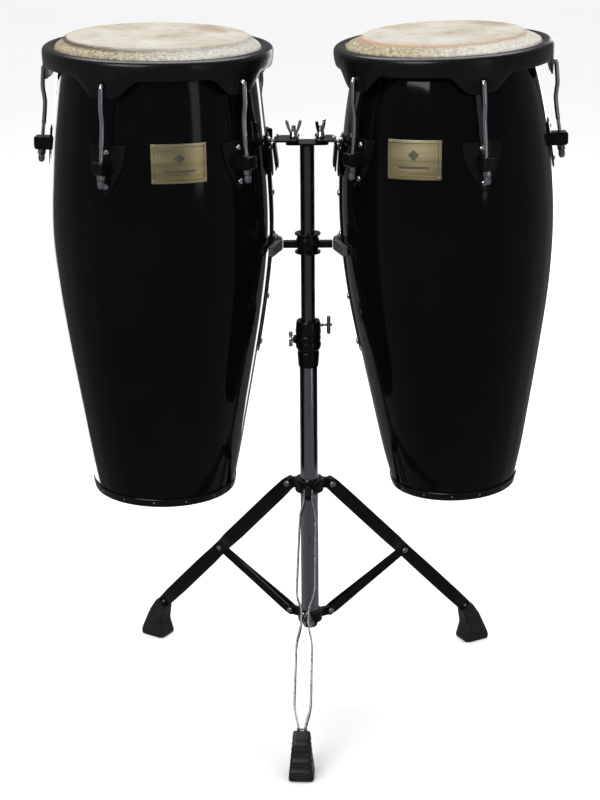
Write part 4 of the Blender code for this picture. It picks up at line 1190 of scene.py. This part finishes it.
def make_ring(name, node, bore, outer, heights, ear_outline, ear_half, body):
    low, high = heights
    edge = 0.0016
    outline = [(bore, low), (outer - edge, low), (outer - edge * 0.3, low + edge * 0.3),
               (outer, low + edge),
               (outer, high - edge), (outer - edge * 0.3, high - edge * 0.3), (outer - edge, high),
               (bore, high)]
    look = finish_piece(name, revolve(outline, 72), "black_gloss", body)
    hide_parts(node)
    for leg in LEG_ANGLES:
        ear = side_prism(rounded_loop(ear_outline, 0.0035, 4), -ear_half, ear_half)
        finish_piece("%s_ear_%s" % (name, leg), ear, "black_gloss", body, STAND @ leg_turn(leg),
                     bevel=0.0008)


def linkage_frame(leg, pivot, toward):
    tilt = math.atan2(toward[1] - pivot[1], toward[0] - pivot[0])
    return STAND @ leg_turn(leg) @ Matrix.Translation((pivot[0], 0, pivot[1])) @ Matrix.Rotation(-tilt, 4,
                                                                                                 "Y")


def strap(line, thickness, width, end_radius):
    """One bent strap with rounded ends, upright in the leg's plane."""
    bm = bmesh.new()
    line = rounded(line, 0.012, 6)
    total = [0.0]
    for a, b in zip(line, line[1:]):
        total.append(total[-1] + math.dist(a, b))
    stations = []
    length = total[-1]
    for position in sorted(set(total + [end_radius * f for f in (0.06, 0.2, 0.45)]
                               + [length - end_radius * f for f in (0.06, 0.2, 0.45)])):
        index = max(i for i, t in enumerate(total[:-1]) if t <= position + 1e-9)
        share = (position - total[index]) / (total[index + 1] - total[index])
        point = Vector(line[index]).lerp(Vector(line[index + 1]), share)
        direction = (Vector(line[index + 1]) - Vector(line[index])).normalized()
        gap = min(position, length - position)
        reach = width / 2
        if gap < end_radius:
            reach = width / 2 - end_radius + math.sqrt(max(end_radius ** 2 - (end_radius - gap) ** 2, 0.0))
        stations.append((point, direction, reach))
    rings = []
    for point, direction, reach in stations:
        normal = Vector((-direction.y, direction.x)) * thickness / 2
        edge = thickness * 0.28
        ring = []
        for sign_y, z in ((1, reach - edge), (0.55, reach), (-0.55, reach), (-1, reach - edge),
                          (-1, -reach + edge), (-0.55, -reach), (0.55, -reach), (1, -reach + edge)):
            spot = point + normal * sign_y
            ring.append(bm.verts.new((spot.x, spot.y, z)))
        rings.append(ring)
    for low, high in zip(rings, rings[1:]):
        for step in range(8):
            following = (step + 1) % 8
            bm.faces.new([low[step], low[following], high[following], high[step]])
    bm.faces.new(list(reversed(rings[0])))
    bm.faces.new(rings[-1])
    return bm


def paint_edge_highlight(look):
    """Painted highlight: bright steel colour on the narrow edges of a pair of black-painted straps, in
    place of the light those edges catch.
    """
    look.data.materials.append(MATERIALS["steel_and_edge_highlight"])
    for face in look.data.polygons:
        if abs(face.normal.z) > 0.25:
            face.material_index = 1


def make_leg(leg):
    middle = math.dist(HUB_PIVOT, MID_PIVOT)
    line = [(-0.0100, 0.0062), (0.0120, 0.0062), (0.0330, 0.0122), (middle - 0.034, 0.0142),
            (middle - 0.0125, 0.0053), (middle + 0.0150, 0.0053), (middle + 0.0400, 0.0120),
            (LEG_LENGTH - 0.0370, 0.0126), (LEG_LENGTH - 0.0060, 0.0048), (LEG_LENGTH + 0.0030, 0.0048)]
    body = leg + "_leg"
    place = linkage_frame(leg, HUB_PIVOT, MID_PIVOT)
    straps = [strap([(x, y * side) for x, y in line], 0.0026, 0.0209, 0.0095) for side in (1, -1)]
    look = finish_piece(leg + "_leg_look", merge(straps), "black_gloss", body, place, 30)
    # Painted highlight on the front leg's strap edges, which face the camera edge-on.
    if leg == "front":
        paint_edge_highlight(look)
    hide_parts(leg + "_leg")
    rivet(leg + "_top_rivet", place, 0.0076, 0.0052, body)
    rivet(leg + "_mid_rivet", place @ Matrix.Translation((middle, 0, 0)), 0.0067, 0.0048, body)
    rivet(leg + "_foot_rivet", place @ Matrix.Translation((LEG_LENGTH - 0.0045, 0, 0)), 0.0061, 0.0030,
          body)

    length = math.dist(LOW_PIVOT, MID_PIVOT)
    line = [(-0.0080, 0.0053), (0.0180, 0.0053), (length - 0.0600, 0.0024), (length + 0.0080, 0.0024)]
    place = linkage_frame(leg, LOW_PIVOT, MID_PIVOT)
    straps = [strap([(x, y * side) for x, y in line], 0.0022, 0.0149, 0.0070) for side in (1, -1)]
    look = finish_piece(leg + "_brace_look", merge(straps), "black_gloss", leg + "_brace", place,
                        30)
    # Painted highlight on the front brace's strap edges, which face the camera edge-on.
    if leg == "front":
        paint_edge_highlight(look)
    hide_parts(leg + "_brace")
    rivet(leg + "_low_rivet", place, 0.0065, 0.0046, leg + "_brace")


def between(points, share):
    """Point at a share of the way along an open line of 2-D points, by length."""
    lengths = [math.dist(a, b) for a, b in zip(points, points[1:])]
    target = share * sum(lengths)
    for (a, b), length in zip(zip(points, points[1:]), lengths):
        if target <= length:
            return Vector(a).lerp(Vector(b), target / length)
        target -= length
    return Vector(points[-1])


def make_foot(leg):
    """Rubber boot lofted from sole to top through rounded sections, with moulded grooves."""
    tilt = math.atan2(HUB_PIVOT[1] - MID_PIVOT[1], MID_PIVOT[0] - HUB_PIVOT[0])
    reach = LEG_LENGTH + 0.0003
    top_r = HUB_PIVOT[0] + reach * math.cos(tilt)
    top_z = HUB_PIVOT[1] - reach * math.sin(tilt)
    across = (math.sin(tilt) * 0.0112, math.cos(tilt) * 0.0112)
    inner = [(0.2945, SOLE_Z), (0.2925, SOLE_Z + 0.005), (0.2950, SOLE_Z + 0.013), (0.2985, 0.0400),
             (top_r - across[0], top_z - across[1])]
    outer = [(0.3390, SOLE_Z), (0.3420, SOLE_Z + 0.004), (0.3405, SOLE_Z + 0.011), (0.3225, 0.0640),
             (top_r + across[0], top_z + across[1])]
    grooves = {"front": [0.27, 0.38, 0.49, 0.60, 0.71, 0.82], "right": [0.42, 0.54, 0.66],
               "left": [0.42, 0.54, 0.66]}[leg]
    levels = {0.0, 0.02, 0.05, 0.09, 0.14, 0.20, 0.97, 1.0}
    for centre in grooves:
        for offset in (-0.022, -0.014, 0.006, 0.014):
            levels.add(round(centre + offset, 4))
    levels.update((0.31, 0.33, 0.36, 0.88, 0.93))
    bm = bmesh.new()
    rings = []
    sides = 48
    fluted = leg != "front"
    for level in sorted(levels):
        low = between(inner, level)
        high = between(outer, level)
        half = 0.0195 + (0.0130 - 0.0195) * level
        centre = (low + high) / 2
        span = (high - low) / 2
        inset = 0.0
        for groove in grooves:
            if -0.016 <= level - groove <= 0.008:
                inset = 0.0011
        if level > 0.985:
            inset = 0.0008
        if level < 0.01:
            inset = 0.0012
        ring = []
        for step in range(sides):
            angle = 2 * math.pi * (step + 0.5) / sides
            power = 0.28
            c, s = math.cos(angle), math.sin(angle)
            x = math.copysign(abs(c) ** power, c)
            y = math.copysign(abs(s) ** power, s)
            flute = 0.0
            if fluted and 0.03 < level < 0.33:
                flute = 0.0006 * (0.5 + 0.5 * math.cos(angle * 24)) * (1 - level / 0.33)
            shrink = inset + flute
            along = centre + span * (x * (1 - shrink / max(span.length, 1e-6)))
            ring.append(bm.verts.new((along.x, y * (half - shrink), along.y)))
        rings.append(ring)
    for low, high in zip(rings, rings[1:]):
        for step in range(sides):
            following = (step + 1) % sides
            bm.faces.new([low[step], low[following], high[following], high[step]])
    bm.faces.new(list(reversed(rings[0])))
    bm.faces.new(rings[-1])
    look = finish_piece(leg + "_foot_look", bm, "rubber", leg + "_leg", STAND @ leg_turn(leg), 55)
    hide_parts(leg + "_foot")


def make_tripod():
    low, high = HUB_Z
    ear = [(0.0205, low + 0.001), (0.0205, high - 0.003), (0.0400, high - 0.0075), (0.0450, 0.3580),
           (0.0464, 0.3520), (0.0440, 0.3470), (0.0380, 0.3450)]
    make_ring("hub_look", "leg_hub", 0.0146, 0.0230, (low, high), ear, 0.0046, "hub")
    turn = leg_turn("front") @ Matrix.Rotation(math.pi, 4, "Z")
    boss_z = (low + high) / 2
    boss = along_x(revolve([(0.0032, 0.0190), (0.0070, 0.0190), (0.0070, 0.0268), (0.0064, 0.0275),
                            (0.0032, 0.0275)], 28))
    place = STAND @ turn @ Matrix.Translation((0, 0, boss_z))
    finish_piece("hub_boss", boss, "black_gloss", "hub", place)
    wing_screw_look("hub_bolt_look", place, 0.0184, 0.0385, "hub_screw", "hub_bolt")
    low, high = COLLAR_Z
    ear = [(0.0180, low + 0.001), (0.0180, high - 0.002), (0.0370, 0.1345), (0.0415, 0.1310),
           (0.0425, 0.1255), (0.0395, 0.1215), (0.0350, 0.1200)]
    make_ring("collar_look", "lower_collar", 0.0146, 0.0200, (low, high), ear, 0.0039, "base")
    for leg in LEG_ANGLES:
        make_leg(leg)
        make_foot(leg)


# ---------------------------------------------------------------- studio

def make_floor():
    bm = bmesh.new()
    bmesh.ops.create_grid(bm, x_segments=2, y_segments=2, size=30.0)
    mesh = bpy.data.meshes.new("floor")
    bm.to_mesh(mesh)
    bm.free()
    mesh.materials.append(surface("floor_paper", (0.90, 0.90, 0.90), (0.93, 0.93, 0.93), 0.4, (0.8, 0.95),
                                  bump=(0.02, 0.0001, 40.0), specular=0.0))
    floor = bpy.data.objects.new("floor", mesh)
    floor.location = (0, 0, -0.0002)
    floor.visible_glossy = False
    bpy.context.collection.objects.link(floor)


def make_world():
    world = bpy.data.worlds.new("studio")
    world.use_nodes = True
    bpy.context.scene.world = world
    nodes = world.node_tree.nodes
    links = world.node_tree.links
    background = nodes["Background"]
    place = nodes.new("ShaderNodeTexCoord")
    split = nodes.new("ShaderNodeSeparateXYZ")
    links.new(place.outputs["Generated"], split.inputs["Vector"])
    ramp = nodes.new("ShaderNodeValToRGB")
    ramp.color_ramp.elements[0].position = 0.25
    ramp.color_ramp.elements[0].color = (0.10, 0.105, 0.12, 1)
    ramp.color_ramp.elements[1].position = 0.75
    ramp.color_ramp.elements[1].color = (0.20, 0.20, 0.21, 1)
    remap = nodes.new("ShaderNodeMapRange")
    remap.inputs["From Min"].default_value = -1.0
    links.new(split.outputs["Y"], remap.inputs["Value"])
    links.new(remap.outputs["Result"], ramp.inputs["Fac"])
    path = nodes.new("ShaderNodeLightPath")
    mix = nodes.new("ShaderNodeMix")
    mix.data_type = "RGBA"
    mix.inputs[6].default_value = (1.0, 1.0, 1.0, 1)
    links.new(path.outputs["Is Glossy Ray"], mix.inputs["Factor"])
    links.new(ramp.outputs["Color"], mix.inputs[7])
    links.new(mix.outputs[2], background.inputs["Color"])
    background.inputs["Strength"].default_value = 1.0


def area_light(name, location, target, size, power):
    data = bpy.data.lights.new(name, "AREA")
    data.shape = "RECTANGLE"
    data.size, data.size_y = size
    data.energy = power
    lamp = bpy.data.objects.new(name, data)
    lamp.location = location
    direction = Vector(target) - Vector(location)
    lamp.rotation_euler = direction.to_track_quat("-Z", "Y").to_euler()
    bpy.context.collection.objects.link(lamp)
    return lamp


def make_camera():
    data = bpy.data.cameras.new("camera")
    data.lens = CAMERA_LENS
    data.sensor_width = SENSOR
    data.clip_end = 100.0
    camera = bpy.data.objects.new("camera", data)
    turn = Matrix.Identity(4)
    for angle, axis in zip(CAMERA_TURN, "ZXZ"):
        turn = turn @ Matrix.Rotation(math.radians(angle), 4, axis)
    camera.matrix_world = Matrix.Translation(CAMERA_PLACE) @ turn
    bpy.context.collection.objects.link(camera)
    bpy.context.scene.camera = camera


for drum_side in DRUMS:
    make_drum(drum_side)
make_tubes()
make_height_lock()
wing_screw_look("clamp_screw_look",
                STAND @ Matrix.Translation((0, 0, CLAMP_SCREW_Z)) @ Matrix.Rotation(math.pi, 4, "Z"),
                0.0148, 0.0270, "clamp_screw", "clamp_wing_screw")
make_cradle()
make_top()
for arm_side, nut_turn in NUT_TURN.items():
    make_arm(arm_side, nut_turn)
make_tripod()
make_floor()
make_world()
area_light("key", (-1.4, -2.2, 2.6), (0, 0.05, 0.7), (1.6, 1.6), 42)
area_light("fill", (1.9, -2.2, 1.4), (0, 0.05, 0.6), (0.35, 1.8), 2.2)
strip = area_light("left_strip", (-1.25, 2.55, 0.2), (-0.4, 0.05, 0.4), (1.9, 3.4), 75)
only_left = bpy.data.collections.new("left_drum_looks")
for piece in bpy.context.scene.objects:
    if piece.name.startswith("left_shell"):
        only_left.objects.link(piece)
strip.light_linking.receiver_collection = only_left
area_light("right_strip", (1.1, 2.6, 0.4), (0.2, 0.05, 0.5), (0.5, 2.4), 14)
area_light("top", (0.0, 0.9, 3.0), (0, 0.05, 0.9), (3.2, 1.4), 75)
make_camera()
bpy.context.scene.view_settings.view_transform = "Standard"
bpy.context.scene.view_settings.look = "None"
